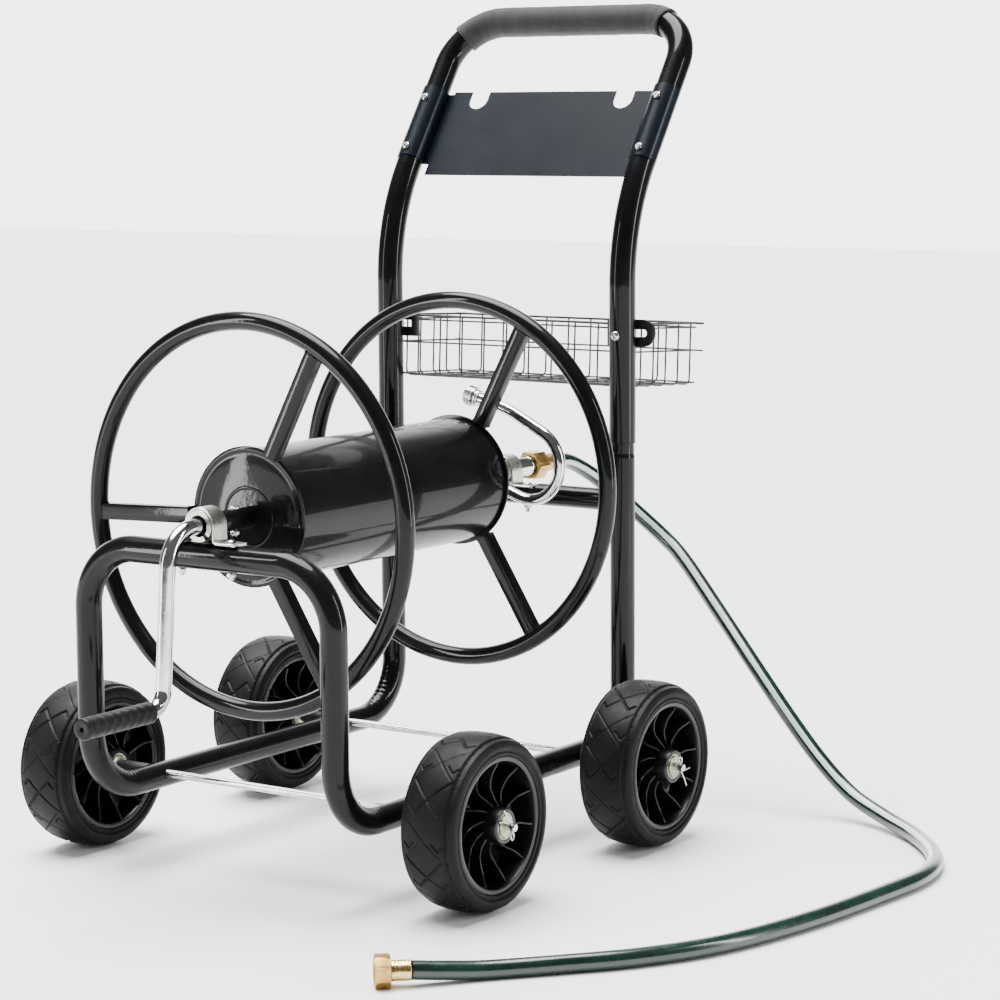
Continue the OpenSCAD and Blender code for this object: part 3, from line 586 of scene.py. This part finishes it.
def spoke(shape, y, angle):
    """Rectangular tube from the drum to the ring, with weld beads at both ends."""
    along = np.array([cos(radians(angle)), 0, sin(radians(angle))])
    across = np.array([-sin(radians(angle)), 0, cos(radians(angle))])
    axes = np.column_stack([across, np.array([0, 1, 0]), along])
    at = np.array([0, y, REEL_Z], float)
    corner = []
    for cx, cy, a0 in ((7.6, 5.6, 0), (-7.6, 5.6, 90), (-7.6, -5.6, 180), (7.6, -5.6, 270)):
        for k in range(5):
            a = radians(a0 + k * 22.5)
            corner.append([cx + 2.4 * cos(a), cy + 2.4 * sin(a)])
    rows = [[[*p, r] for p in corner] for r in (84.4, 120, 180, 226)]
    shape.grid(np.array(rows) @ axes.T + at, ends=True)
    beads = [([[sign * 9.7, face * 5.5, 221.5], [sign * 9.9, 0, 222.3], [sign * 9.7, face * -1, 222]], 1.6)
             for sign in (-1, 1) for face in (-1, 1)]
    beads += [([[-9, out, 222.5], [0, out, 222], [9, out, 222.5]], 1.5) for out in (7.7, -7.7)]
    beads += [([[edge, -7, 85], [edge, 7, 85]], 1.5) for edge in (-9.4, 9.4)]
    for bead, size in beads:
        weld(shape, np.array(bead) @ axes.T + at, size)


def build_reel():
    ring_of(FRONT_RING_Y, "front_ring_tube", "front_ring")
    ring_of(REAR_RING_Y, "rear_ring_tube", "rear_ring")
    spokes = Shape()
    for y in (FRONT_RING_Y, REAR_RING_Y):
        for angle in (62, 182, -58):
            spoke(spokes, y, angle)
    make("ring_spokes", spokes, "reel", "frame_paint", ["spokes"])
    centre = (0, 0, REEL_Z)
    shell = [(DRUM_R - 0.8, -214), (DRUM_R, -213.2), (DRUM_R, 202.2), (DRUM_R - 0.8, 203)]
    make("drum_tube", Shape().lathe(shell, 160, REAR, centre), "reel", "frame_paint", ["drum_shell"])
    # Pressed discs with rolled edges. The front one has an embossed ring
    face = [(12.75, -214), (12.75, -217), (32.6, -217), (33.4, -217.8), (34.2, -218), (36.0, -218),
            (36.7, -217.8), (37.4, -217), (70, -217), (72, -216.7), (76, -216.4), (78, -216.7), (80, -217),
            (83.2, -217), (84, -216.6), (84.3, -215.9), (84.3, -214.6), (83.8, -214), (80.2, -214),
            (12.75, -214)]
    disc = Shape().lathe(face, 160, REAR, centre)
    make("drum_front_plate", disc, "reel", "frame_paint", ["drum_front_disc"])
    face = [(12.75, 203), (80.2, 203), (83.8, 203), (84.3, 203.6), (84.3, 204.9), (84, 205.6), (83.2, 206),
            (80, 206), (78, 205.7), (76, 205.4), (72, 205.7), (70, 206), (12.75, 206), (12.75, 203)]
    disc = Shape().lathe(face, 160, REAR, centre)
    make("drum_rear_plate", disc, "reel", "frame_paint", ["drum_rear_disc"])


build_reel()

# ------------------------------------------------------------------ crank and water path


def build_crank():
    turn, bend = 85.3, 69
    reach = (REEL_Z - CRANK_GRIP_Z - bend * (1 - cos(radians(turn)))) / sin(radians(turn))
    grip_start = -319 - bend * sin(radians(turn)) - reach * cos(radians(turn))
    # The grip's end is as far forward as the handle is to the rear
    front = -(JOINT[1] + 225.5 * sin(radians(LEAN)) + FOAM_R)
    path, _ = bent((0, -225, REEL_Z), turned("X", 90),
                   [[94, 45, turn, -90], [reach, bend - 45, turn, 180], [grip_start - front - 4.6, 0, 0, 0]], 2)
    make("crank_tube", Shape().sweep(path, 9.5, 40), "reel", "chrome", ["crank_arm"])
    length = grip_start - 0.5 - front
    profile = [(9.6, length), (11.6, length), (12.4, length - 0.7), (12.75, length - 1.6),
               (12.75, length - 5), (12.2, length - 6)]
    z, ring_pitch = length - 6, 13.4
    while z - ring_pitch > 8:
        profile += [(12.05, z - 0.5), (11.95, z - 1.1), (12.1, z - 1.7), (12.5, z - 2.2), (12.68, z - 4.5),
                    (12.72, z - 8), (12.68, z - 11), (12.5, z - 12.9)]
        z -= ring_pitch
    profile += [(12.2, z - 0.6), (12.6, 6), (12.75, 4.6), (12.7, 2.6), (12.1, 1.0), (10.9, 0.15), (9.6, 0),
                (3.4, 0), (2.7, 0.5), (2.5, 1.2), (2.5, 4.5), (0.01, 4.6)]
    grip = Shape().lathe(profile, 64, REAR, (0, front, CRANK_GRIP_Z))
    make("crank_sleeve", grip, "crank_grip", "grip_plastic", ["crank_grip"])


build_crank()


def build_gooseneck():
    start, foot = turned("Y", 110), (0, 256, REEL_Z)
    path, axes = bent(foot, start, [[70.2, 46.8, 173, 180], [45, 150, 13, 0], [28, 0, 0, 0]], 2)
    path[0] = path[0] + start[:, 2] * 11
    pipe = Shape().sweep(path, 7.5, 36)
    collar = [(7.5, 12.2), (9.2, 12.6), (9.6, 13.4), (9.2, 15), (8.2, 16.4), (7.5, 17)]
    pipe.lathe(collar, 40, start, foot)
    make("gooseneck_pipe", pipe, "reel", "chrome", ["gooseneck"])
    end = path[-1]
    fitting = Shape()
    fitting.lathe([(5.5, 8), (5.5, 0), (9.2, 0), (10.2, 0.5), (10.5, 1.2), (10.5, 4.9), (10.1, 5.7), (9.4, 6)],
                  48, axes, end)
    thread = [(9.4, 6), (12.2, 6.0), (12.7, 6.5), (12.75, 7.2)]
    z, thread_pitch = 7.6, 1.8
    while z < 18.4:
        thread += [(12.0, z), (12.0, z + 0.35), (12.95, z + 0.9), (12.95, z + 1.25), (12.0, z + thread_pitch)]
        z += thread_pitch
    thread += [(12.0, 19.2), (11.4, 20), (8.4, 20), (7.6, 19.4), (5.6, 19.0), (5.5, 17), (5.5, 8)]
    fitting.lathe(thread, 64, axes, end)
    make("outlet_thread_fitting", fitting, "reel", "bright_steel", ["outlet_fitting"])


def build_axis_parts():
    """The tubes that the reel turns on, and the swivel that stays still."""
    centre = (0, 0, REEL_Z)
    axle = [(12.7, 194), (12.7, 300), (12.7, 331.5), (12.2, 332), (9.0, 332), (9.0, 351)]
    make("water_axle_tube", Shape().lathe(axle, 64, REAR, centre), "reel", "zinc", ["water_axle"])
    swivel = [(9.1, 332.4), (11.2, 332.4), (11.9, 332.9), (12, 333.8), (12, 340), (11.7, 340.6), (11.7, 342),
              (12, 342.6), (12, 368.6), (12.3, 369.6), (12.95, 370.4), (12.95, 375), (12.4, 376),
              (12.4, 377.5), (12.95, 378), (12.95, 388), (12.2, 389.5), (11.9, 391), (6, 391), (6, 350),
              (9.1, 350), (9.1, 332.4)]
    make("swivel_chrome", Shape().lathe(swivel, 64, REAR, centre), "root", "chrome", ["swivel_body"])
    tube = [(9.6, -205), (12.7, -205), (12.7, -298.6), (12.2, -299.6), (11.4, -300), (9.9, -300),
            (9.6, -299), (9.6, -205)]
    stub = Shape().lathe(tube, 64, REAR, centre)
    # Cross hole nearer to the disc
    hole = [(3.7, 12.2), (3.9, 12.9), (3.3, 13.0), (3.1, 12.4), (3.0, 9.0), (0.01, 9.0)]
    stub.lathe(hole, 24, facing((1, 0, 0)), (0, -228, REEL_Z), paint=lambda i, k: int(i > 2))
    make("drive_stub_tube", stub, "reel", "frame_paint", ["drive_stub"], ["frame_paint", "bore_shadow"])


build_gooseneck()
build_axis_parts()

# ------------------------------------------------------------------ bearings and fasteners


def dome_head(shape, at, axes, height=3.6):
    """A low domed bolt head with a small flange and a hexagon socket."""
    radius = 6
    dome = [(radius * 0.98, 0), (radius, 0.5), (radius * 0.97, 0.9)]
    dome += [(radius * 0.92 * cos(a), 0.9 + (height - 0.9) * sin(a)) for a in np.linspace(0.1, 1.1, 7)]
    dome += [(2.3, height - 0.15), (2.1, height - 0.6), (2.0, height - 1.8), (0.01, height - 1.9)]
    shape.lathe(dome, 40, axes, at)


def hex_nut(shape, at, axes):
    flats, height, bore = 10, 5, 3.1
    limit = polygon_limit(flats, 6)
    corner = flats / 2 / cos(pi / 6)
    shape.lathe([(bore, height - 0.3), (bore, 0.5), (bore + 0.5, 0), (flats / 2 - 0.2, 0), (corner, 0.7),
                 (corner, height - 0.7), (flats / 2 - 0.2, height), (bore + 0.5, height),
                 (bore, height - 0.5)], 48, axes, at, limit)


UP = np.eye(3)
SEATS = ((POST_Y, FRONT_SEAT_Z), (UP_Y, REAR_SEAT_Z))


def strap(shape, y, seat):
    """Bent strap over a bush, with a flat foot on each side that ends in rounded corners."""
    half, wide, tip = 1.38, 12.5, 52
    centre = [(-tip + 3, seat + 1.4), (-24.5, seat + 1.4), (-22.2, seat + 2.2), (-20.55, seat + 4.4)]
    centre += [(-20.5, 440)]
    centre += [(-20.5 * cos(a), REEL_Z + 20.5 * sin(a)) for a in np.linspace(0, pi, 33)]
    centre += [(20.5, 440), (20.55, seat + 4.4), (22.2, seat + 2.2), (24.5, seat + 1.4), (tip - 3, seat + 1.4)]
    centre = np.array(centre)
    way = np.gradient(centre, axis=0)
    way /= np.linalg.norm(way, axis=1)[:, None]
    normals = np.column_stack([-way[:, 1], way[:, 0]])
    section = ((half, -wide + 0.7), (half, wide - 0.7), (half - 0.6, wide), (-half + 0.6, wide),
               (-half, wide - 0.7), (-half, -wide + 0.7), (-half + 0.6, -wide), (half - 0.6, -wide))
    rows = []
    for p, normal in zip(centre, normals):
        points = [(p + normal * off, y + along) for off, along in section]
        rows.append([[q[0], y_at, q[1]] for q, y_at in points])
    shape.grid(rows, ends=True)
    arc = [(3.0 * sin(a) + 49, wide - 3 + 3 * cos(a)) for a in np.linspace(0, pi / 2, 5)]
    outline = [(48.9, wide)] + arc + [(tip, -arc[-1][1])] + [(a, -b) for a, b in arc[::-1]] + [(48.9, -wide)]
    for sign in (-1, 1):
        low, high = [[[sign * a, y + b, seat + z] for a, b in outline] for z in (0.02, 2.78)]
        if sign < 0:
            low, high = high, low
        shape.grid([low, high], ends=True)


def build_bearings():
    straps, bushes = Shape(), Shape()
    for y, seat in SEATS:
        strap(straps, y, seat)
    make("bearing_straps", straps, "root", "zinc", ["bearing_saddles"])
    # Each bush is a rolled sleeve with its seam at the lower right
    rolled = [(12.76, -13.6), (13.2, -14), (18.4, -14), (19, -13.4), (19, 13.4), (18.4, 14), (13.2, 14),
              (12.76, 13.6)]
    # Painted shade: a dark ring inside each sleeve that shows through its seam
    seam_shade_ring = [(12.8, -13), (15.8, -13), (15.8, 13), (12.8, 13), (12.8, -13)]
    angles = np.radians(np.linspace(-38, 302, 72))
    for y in (POST_Y, UP_Y):
        rows = [[[r * cos(a), y + z, REEL_Z + r * sin(a)] for r, z in rolled] for a in angles]
        bushes.grid(rows, ends=True)
        bushes.lathe(seam_shade_ring, 64, REAR, (0, y, REEL_Z), paint=1)
    make("bearing_sleeves", bushes, "root", "zinc", ["saddle_bushes"], ["zinc", "bore_shadow"])


def build_fasteners():
    bolts = Shape()
    for (y, seat), start in zip(SEATS, (380, 389)):
        for x in (-STRAP_BOLT_X, STRAP_BOLT_X):
            bolts.lathe([(0.01, start), (2.4, start), (3, start + 0.8), (3, seat + 3)], 24, UP, (x, y, 0))
            dome_head(bolts, (x, y, seat + 2.8), UP)
    make("strap_bolts", bolts, "root", "bright_steel", ["saddle_bolts"])
    bolts = Shape()
    forward = facing((0, -1, 0))
    for x in (-SIDE, SIDE):
        dome_head(bolts, (x, UP_Y - UPRIGHT_R - 0.3, HANGER_BOLT_Z), forward, 3.2)
        bolts.lathe([(3, 300), (3, 346.4), (2.4, 347), (0.01, 347)], 24, REAR, (x, 0, HANGER_BOLT_Z))
    make("hanger_bolts", bolts, "root", "bright_steel", ["basket_bolts"])
    nuts = Shape()
    for y, z in ((POST_Y, 389 - 5.4), (UP_Y, CROSSBAR_Z - CROSSBAR_R - 5.4)):
        for x in (-STRAP_BOLT_X, STRAP_BOLT_X):
            hex_nut(nuts, (x, y, z), UP)
    for x in (-SIDE, SIDE):
        hex_nut(nuts, (x, UP_Y + 17.3 + 3.1, HANGER_BOLT_Z), REAR)
    make("lock_nuts", nuts, "root", "bright_steel", ["frame_nuts"])
    # The bolt that holds the crank in the drum's stub
    across = (0, -242, REEL_Z)
    bolt = Shape().lathe([(3, -19.5), (3, 13), (3.2, 12.8)], 24, UP, across)
    bolt.lathe([(0.01, -19.5), (3, -19.5)], 24, UP, across)
    corner = 5 / cos(pi / 6)
    head = [(0.01, 12.8), (4.8, 12.8), (corner, 13.3), (corner, 15.8), (4.8, 16.7), (0.01, 16.8)]
    bolt.lathe(head, 48, UP, across, polygon_limit(10, 6))
    make("crank_bolt", bolt, "reel", "bright_steel", ["stub_bolt"])
    nut = Shape()
    hex_nut(nut, (0, -242, REEL_Z - 12.7 - 5.1), UP)
    make("crank_bolt_nut", nut, "reel", "bright_steel", ["stub_nut"])


build_bearings()
build_fasteners()

# ------------------------------------------------------------------ basket

TILT = turned("X", -3)
BASKET = np.array([0, 341, 641], float)


def in_basket(points):
    return np.asarray(points, float) @ TILT.T + BASKET


def hoop(a, down, b, corner=8.0):
    """U-shaped wire in its own plane: from (a, 0) down, along and up to (b, 0)."""
    points = [(a, 0)]
    points += [(a + corner * (1 - cos(t)), down + corner * (1 - sin(t))) for t in np.radians(range(0, 91, 15))]
    points += [(b - corner * (1 - sin(t)), down + corner * (1 - cos(t))) for t in np.radians(range(0, 91, 15))]
    return points + [(b, 0)]


def build_basket():
    wire, rim_wire, deep = 1.2, 1.6, 153
    wires = Shape()
    for i in range(9):
        x = -155 + 36 * i
        path = finer(in_basket([[x, y, z] for y, z in hoop(1.4, -79.6, 151.6)]), 14)
        wires.sweep(path, wire, 12)
    for i in range(5):
        y = 20 + 31 * i
        path = finer(in_basket([[x, y, z] for x, z in hoop(-187.4, -81.6, 187.4)]), 16)
        wires.sweep(path, wire, 12)
    for level, size in ((0, rim_wire), (-5.6, wire), (-36, wire), (-79, wire)):
        reach = 202 if level in (0, -36) else 189
        # Level wires bow slightly
        bow = 0.2 * sin(level)
        wires.sweep(in_basket([[-188.6, 0, level], [-60, -0.3, level + bow],
                               [70, 0, level], [188.6, 0, level]]), size, 12)
        wires.sweep(in_basket([[-reach, deep, level], [-50, deep + 0.3, level],
                               [60, deep - 0.1, level + 0.3], [reach, deep, level]]), size, 12)
        for sign in (-1, 1):
            wires.sweep(in_basket([[sign * 189.2, -0.6, level], [sign * 189, 76, level],
                                   [sign * 189.2, deep + 0.6, level]]), size, 12)
    make("basket_wires", wires, "root", "basket_paint",
         ["basket_front", "basket_back", "basket_ends", "basket_floor"])


build_basket()

# ------------------------------------------------------------------ wheels

TYRE_R = 104.0
OUTWARD = facing((1, 0, 0))


def tread_depth(u, v, pitch):
    """Depth of the tread's grooves. u runs round the tyre within one pitch, and v across it."""
    depth = np.zeros_like(u)
    # Each stroke: its start and end, its width and its depth
    strokes, half = [], pitch / 2
    for side in (-1, 1):
        strokes += [((-26, 28 * side), (17, -16 * side), 2.4, 1.9),
                    ((17, -16 * side), (9, -23 * side), 2.4, 1.9),
                    ((half - 26, 28 * side), (half + 26, -28 * side), 1.3, 0.9),
                    ((half + 4, 12 * side), (half + 12, 20 * side), 1.8, 1.4),
                    ((half + 12, 20 * side), (half + 5, 26 * side), 1.8, 1.4)]
    for (u0, v0), (u1, v1), width, deep in strokes:
        for wrap in (-pitch, 0, pitch):
            a = np.array([u0 + wrap, v0])
            d = np.array([u1 - u0, v1 - v0])
            t = np.clip(((u - a[0]) * d[0] + (v - a[1]) * d[1]) / (d @ d), 0, 1)
            distance = np.hypot(u - a[0] - t * d[0], v - a[1] - t * d[1])
            wall = np.clip((width / 2 + 0.5 - distance) / 1.0, 0, 1)
            depth = np.maximum(depth, deep * wall * wall * (3 - 2 * wall))
    return depth


def tyre_shape():
    around = 720
    side = [(80.0, 33.6), (80.4, 35.0), (81.6, 36.1), (83.0, 36.3), (84.2, 36.1), (84.9, 35.3), (85.8, 35.2),
            (86.6, 35.9), (87.4, 37.1), (88.4, 37.5), (90.5, 37.4), (93.0, 36.8), (95.6, 35.6), (97.9, 33.9),
            (99.6, 31.9), (100.8, 29.9), (101.7, 28.3), (102.9, 27.4), (103.7, 26.6), (104.0, 25.6)]
    tread = [(TYRE_R, x) for x in np.linspace(24.7, -24.7, 46)]
    profile = np.array(side + tread + [(r, -x) for r, x in side[::-1]])
    # The tread is crowned
    across = np.abs(profile[:, 1])
    crown = np.where(across < 28.4, 2.3 * (across / 26) ** 2.4, 1.6)
    profile[:, 0] -= crown * (profile[:, 0] > 99)
    angles = np.arange(around) * 2 * pi / around
    repeats, shoulder_blocks = 7, 36
    pitch = 2 * pi * TYRE_R / repeats
    u, v = np.meshgrid(angles * TYRE_R % pitch, profile[:, 1], indexing="ij")
    depth = tread_depth(u, v, pitch)
    # Short blocks cut into the shoulders
    notch = np.clip(1 - np.abs((angles * shoulder_blocks / (2 * pi)) % 1 - 0.5) * 9, 0, 1)[:, None]
    shoulder = np.exp(-((np.abs(v) - 28.5) / 1.6) ** 2)
    depth = np.maximum(depth * (np.abs(v) < 26.5), 0.8 * notch * shoulder)
    radius = np.broadcast_to(profile[:, 0], depth.shape) - depth
    rows = np.stack([np.broadcast_to(v, depth.shape), radius * np.cos(angles)[:, None],
                     radius * np.sin(angles)[:, None]], axis=-1)
    return Shape().grid(np.transpose(rows, (1, 0, 2))[::-1])


def rim_shape():
    """Barrel, web and hub in one turned shape, with curved vanes on both faces of the web."""
    shape = Shape()
    barrel = [(73.5, -32.5), (74.4, -34.2), (76, -34.9), (79, -34.9), (80, -34.4), (80, 34.4), (79, 34.9),
              (76, 34.9), (74.4, 34.2), (73.5, 32.5), (72.6, 24), (72.0, 8), (70.5, 2), (66, -0.3),
              (46, -0.6), (30, 0.2), (23.5, 2.5), (21.4, 8), (21, 20), (21, 40.8), (20, 42.6), (18.6, 43),
              (16.6, 43), (16.1, 42.4), (16.0, 30), (16.0, -36), (16.6, -41), (19, -41), (21, -39),
              (21, -14), (23.5, -8.6), (30, -6.4), (66, -6.2), (70.5, -8), (72.0, -14), (73.5, -32.5)]
    shape.lathe(barrel, 192, OUTWARD)
    radii = np.linspace(20.5, 72.6, 19)
    height = np.interp(radii, [20, 24, 30, 40, 50, 60, 68, 73.6], [27.5, 25.5, 21.5, 19, 21, 25, 29.5, 32.2])
    swirl = np.interp(radii, [20, 27, 35, 44, 58, 73.6], [30, 21, 12, 5.5, 1.5, 2.5])
    vanes = 11
    for i in range(vanes):
        for face, web in ((1, 0), (-1, -6.4)):
            rows = []
            for r, h, s in zip(radii, height, swirl):
                a = radians(90 - s * face + i * 360 / vanes)
                out = np.array([0, cos(a), sin(a)])
                across = np.array([0, -sin(a), cos(a)])
                section = [(-1.5, -1), (-1.3, h - 1.2), (-0.9, h - 0.35), (0, h), (0.9, h - 0.35),
                           (1.3, h - 1.2), (1.5, -1)]
                rows.append([r * out + w * across + np.array([x * face + web, 0, 0])
                             for w, x in section[::face]])
            shape.grid(rows, around=False)
    return shape


def bearing_shape():
    """Cartridge bearing: shield, seal groove and inner race on each face."""
    face = [(4.8, 42.0), (7.2, 42.0), (7.6, 41.6), (8.0, 41.0), (9.6, 41.0), (10.0, 41.5), (10.4, 41.7),
            (12.6, 41.9), (13.2, 41.4), (13.6, 41.0), (14.2, 41.2), (14.5, 42.4), (15.6, 42.6), (16, 42.0)]
    return Shape().lathe(face + [(r, -x + 2) for r, x in face[::-1]], 96, OUTWARD)


def build_wheels():
    parts = (("tyre", "rubber", tyre_shape(), "tyre_rubber", "tyre_rubber", 50),
             ("rim", "vaned", rim_shape(), "rim_plastic", "rim_plastic", 38),
             ("bearing", "race", bearing_shape(), "zinc", "bearing_zinc", 38))
    # Each wheel's place, its half turn on the left, and how far it is turned on its axle
    places = {"front_right": (WHEEL_X, FRONT_AXLE_Y, 0, 0), "front_left": (-WHEEL_X, FRONT_AXLE_Y, 180, 40),
              "rear_right": (WHEEL_X, REAR_AXLE_Y, 0, 17), "rear_left": (-WHEEL_X, REAR_AXLE_Y, 180, 75)}
    for kind, ending, shape, slot, material, smooth in parts:
        for where, (x, y, turn, spin) in places.items():
            copy = Shape()
            turns = turned("X", spin).T @ turned("Z", turn).T
            copy.points = [np.vstack(shape.points) @ turns + np.array([x, y, AXLE_Z])]
            copy.faces, copy.paint = shape.faces, shape.paint
            make(f"{kind}_{where}_{ending}", copy, "wheel_" + where, slot, [f"{kind}_{where}"],
                 [material], smooth)


build_wheels()


def build_axles():
    rod = [(0.01, -350), (3.9, -350), (4.75, -349.1), (4.75, -340), (4.75, 340), (4.75, 349.1), (3.9, 350),
           (0.01, 350)]
    sleeve = [(4.9, 201.3), (7.9, 201.3), (8.5, 202), (8.5, 249), (7.9, 249.7), (4.9, 249.7)]
    washer = [(4.9, 0), (12.4, 0), (13, 0.4), (13, 1.3), (12.5, 1.7), (11.0, 1.7), (10.6, 1.3), (9.9, 1.3),
              (9.5, 1.7), (7.8, 1.7), (7.4, 1.2), (6.5, 1.2), (6.1, 1.7), (5.3, 1.7), (4.9, 1.3), (4.9, 0)]
    for y, name in ((FRONT_AXLE_Y, "front"), (REAR_AXLE_Y, "rear")):
        make(f"{name}_axle_rod", Shape().lathe(rod, 40, OUTWARD, (0, y, AXLE_Z)), "root", "bright_steel",
             [f"{name}_axle"])
    sleeves, rings = Shape(), Shape()
    for y in (FRONT_AXLE_Y, REAR_AXLE_Y):
        for sign in (-1, 1):
            way, at = facing((sign, 0, 0)), (0, y, AXLE_Z)
            sleeves.lathe(sleeve, 40, way, at)
            for low in (250, 336.3):
                rings.lathe([(r, low + z) for r, z in washer], 64, way, at)
    make("hub_sleeves", sleeves, "root", "spacer_plastic", ["axle_spacers"])
    make("hub_washers", rings, "root", "zinc", ["axle_washers"], ["bearing_zinc"])


build_axles()


def pin_wire(shape, at, points, side=1):
    """Wire across an axle's end, through points of [towards the rear, up] from the axle."""
    x, y, z = at
    path = np.array([(x, y + side * back, z + up) for back, up in points], float)
    shape.sweep(finer(path, 1.0), 0.95, 12)


def pin_eye(shape, at, up, radius, start, stop, count):
    x, y, z = at
    points = [[x, y + radius * cos(a), z + up + radius * sin(a)]
              for a in np.radians(np.linspace(start, stop, count))]
    shape.sweep(np.array(points), 0.95, 12)


def build_pins():
    clips, pins = Shape(), Shape()
    # Halves of the spring clip: an eye below the axle, and two spread legs above
    folded = [(1.3, -14), (2.99, -11.5), (3.12, -9), (1.04, -5.6), (0.65, -4), (0.65, 4)]
    upright_leg = [(3.0, 7), (10, 15), (17, 23)]
    low_leg = [(-4.5, 5.4), (-14, 8.6), (-27, 11.5)]
    for sign in (-1, 1):
        at = (sign * PIN_X, FRONT_AXLE_Y, AXLE_Z)
        pin_wire(clips, at, folded + upright_leg, -1)
        pin_wire(clips, at, folded + low_leg)
        pin_eye(clips, at, -13.4, 1.5, 180, 360, 9)
        # Split pin: a round eye above, and its legs bent back below
        at = (sign * PIN_X, REAR_AXLE_Y, AXLE_Z)
        pin_wire(pins, at, [(-0.65, 5.5), (-0.65, -4), (5, -5.0), (14, -4.8), (22, -4.0)])
        pin_wire(pins, at, [(0.65, 5.5), (0.65, -4), (3.5, -8), (9, -16), (14, -25)])
        pin_eye(pins, at, 9.4, 3.4, -70, 250, 25)
    make("hairpin_wires", clips, "root", "bright_steel", ["hairpin_clips"], smooth=60)
    make("split_pin_wires", pins, "root", "bright_steel", ["split_pins"], smooth=60)


build_pins()

# ------------------------------------------------------------------ welds on the frame


def tube_joint(radius, other, centre, along, across, sign):
    """Bead where a tube of one radius meets another, larger one."""
    path = []
    for a in np.linspace(0, 2 * pi, 61):
        h = radius * cos(a)
        w = radius * sin(a)
        reach = sqrt(max(other * other - w * w, 0))
        path.append(np.asarray(centre, float) + sign * np.asarray(along) * (reach + 0.4)
                    + np.asarray(across[0]) * h + np.asarray(across[1]) * w)
    return path


def build_welds():
    beads = Shape()
    for sign in (-1, 1):
        path = tube_joint(CROSSBAR_R, TUBE_R, (sign * SIDE, UP_Y, CROSSBAR_Z), (1, 0, 0),
                          ((0, 0, 1), (0, 1, 0)), -sign)
        weld(beads, path, 1.9)
    make("crossbar_welds", beads, "root", "frame_paint")


build_welds()

# ------------------------------------------------------------------ stage and light


def build_stage():
    floor = Shape()
    size = 14000
    floor.grid([[[-size, -size, 0], [size, -size, 0]], [[-size, size, 0], [size, size, 0]]], around=False)
    mesh = bpy.data.meshes.new("floor")
    mesh.from_pydata((np.vstack(floor.points) * MM).tolist(), [], floor.faces)
    n = Nodes("floor_paper")
    tone = n.ramp(n.noise(1.5, 3), (0.3, (0.87, 0.87, 0.872)), (0.7, (0.89, 0.89, 0.892)))
    n.link(tone, n.shader.inputs["Base Color"])
    n.shader.inputs["Roughness"].default_value = 0.55
    n.shader.inputs["Specular IOR Level"].default_value = 0.3
    mesh.materials.append(n.material)
    plane = bpy.data.objects.new("floor", mesh)
    bpy.context.scene.collection.objects.link(plane)


def shine(name, light, place, heading):
    """Puts a light at a place, shining along a heading."""
    lamp = bpy.data.objects.new(name, light)
    turn = Vector(heading).to_track_quat("-Z", "Y").to_matrix().to_4x4()
    lamp.matrix_world = Matrix.Translation(place) @ turn
    bpy.context.scene.collection.objects.link(lamp)


def strip_light(name, place, size, power):
    """Tall narrow light aimed at the object, for the highlights along the tubes."""
    light = bpy.data.lights.new(name, "AREA")
    light.shape = "RECTANGLE"
    light.size, light.size_y = size
    light.energy = power
    shine(name, light, place, Vector((0, 0, 0.5)) - Vector(place))


def build_world():
    """Dim surroundings, with a white backdrop beyond the object."""
    world = bpy.data.worlds.new("studio")
    world.use_nodes = True
    tree = world.node_tree
    way = tree.nodes.new("ShaderNodeTexCoord").outputs["Generated"]
    dot = tree.nodes.new("ShaderNodeVectorMath")
    dot.operation = "DOT_PRODUCT"
    dot.inputs[1].default_value = (-0.567, 0.824, 0)
    tree.links.new(way, dot.inputs[0])
    ramp = tree.nodes.new("ShaderNodeMapRange")
    ramp.interpolation_type = "SMOOTHSTEP"
    for name, number in (("From Min", 0.72), ("From Max", 0.95), ("To Min", 0.14), ("To Max", 4.6)):
        ramp.inputs[name].default_value = number
    tree.links.new(dot.outputs["Value"], ramp.inputs["Value"])
    tree.links.new(ramp.outputs["Result"], tree.nodes["Background"].inputs["Strength"])
    tree.nodes["Background"].inputs["Color"].default_value = (1, 1, 1, 1)
    bpy.context.scene.world = world


def sun(name, heading, strength, angle):
    light = bpy.data.lights.new(name, "SUN")
    light.energy, light.angle = strength, radians(angle)
    shine(name, light, (0, 0, 0), heading)


build_stage()
build_world()
sun("overhead", (0.25, -0.05, -1), 12.5, 50)
strip_light("left_strip", (-1.9, -2.4, 1.1), (0.16, 2.4), 34)
strip_light("right_strip", (2.9, 0.9, 1.3), (0.25, 2.4), 60)
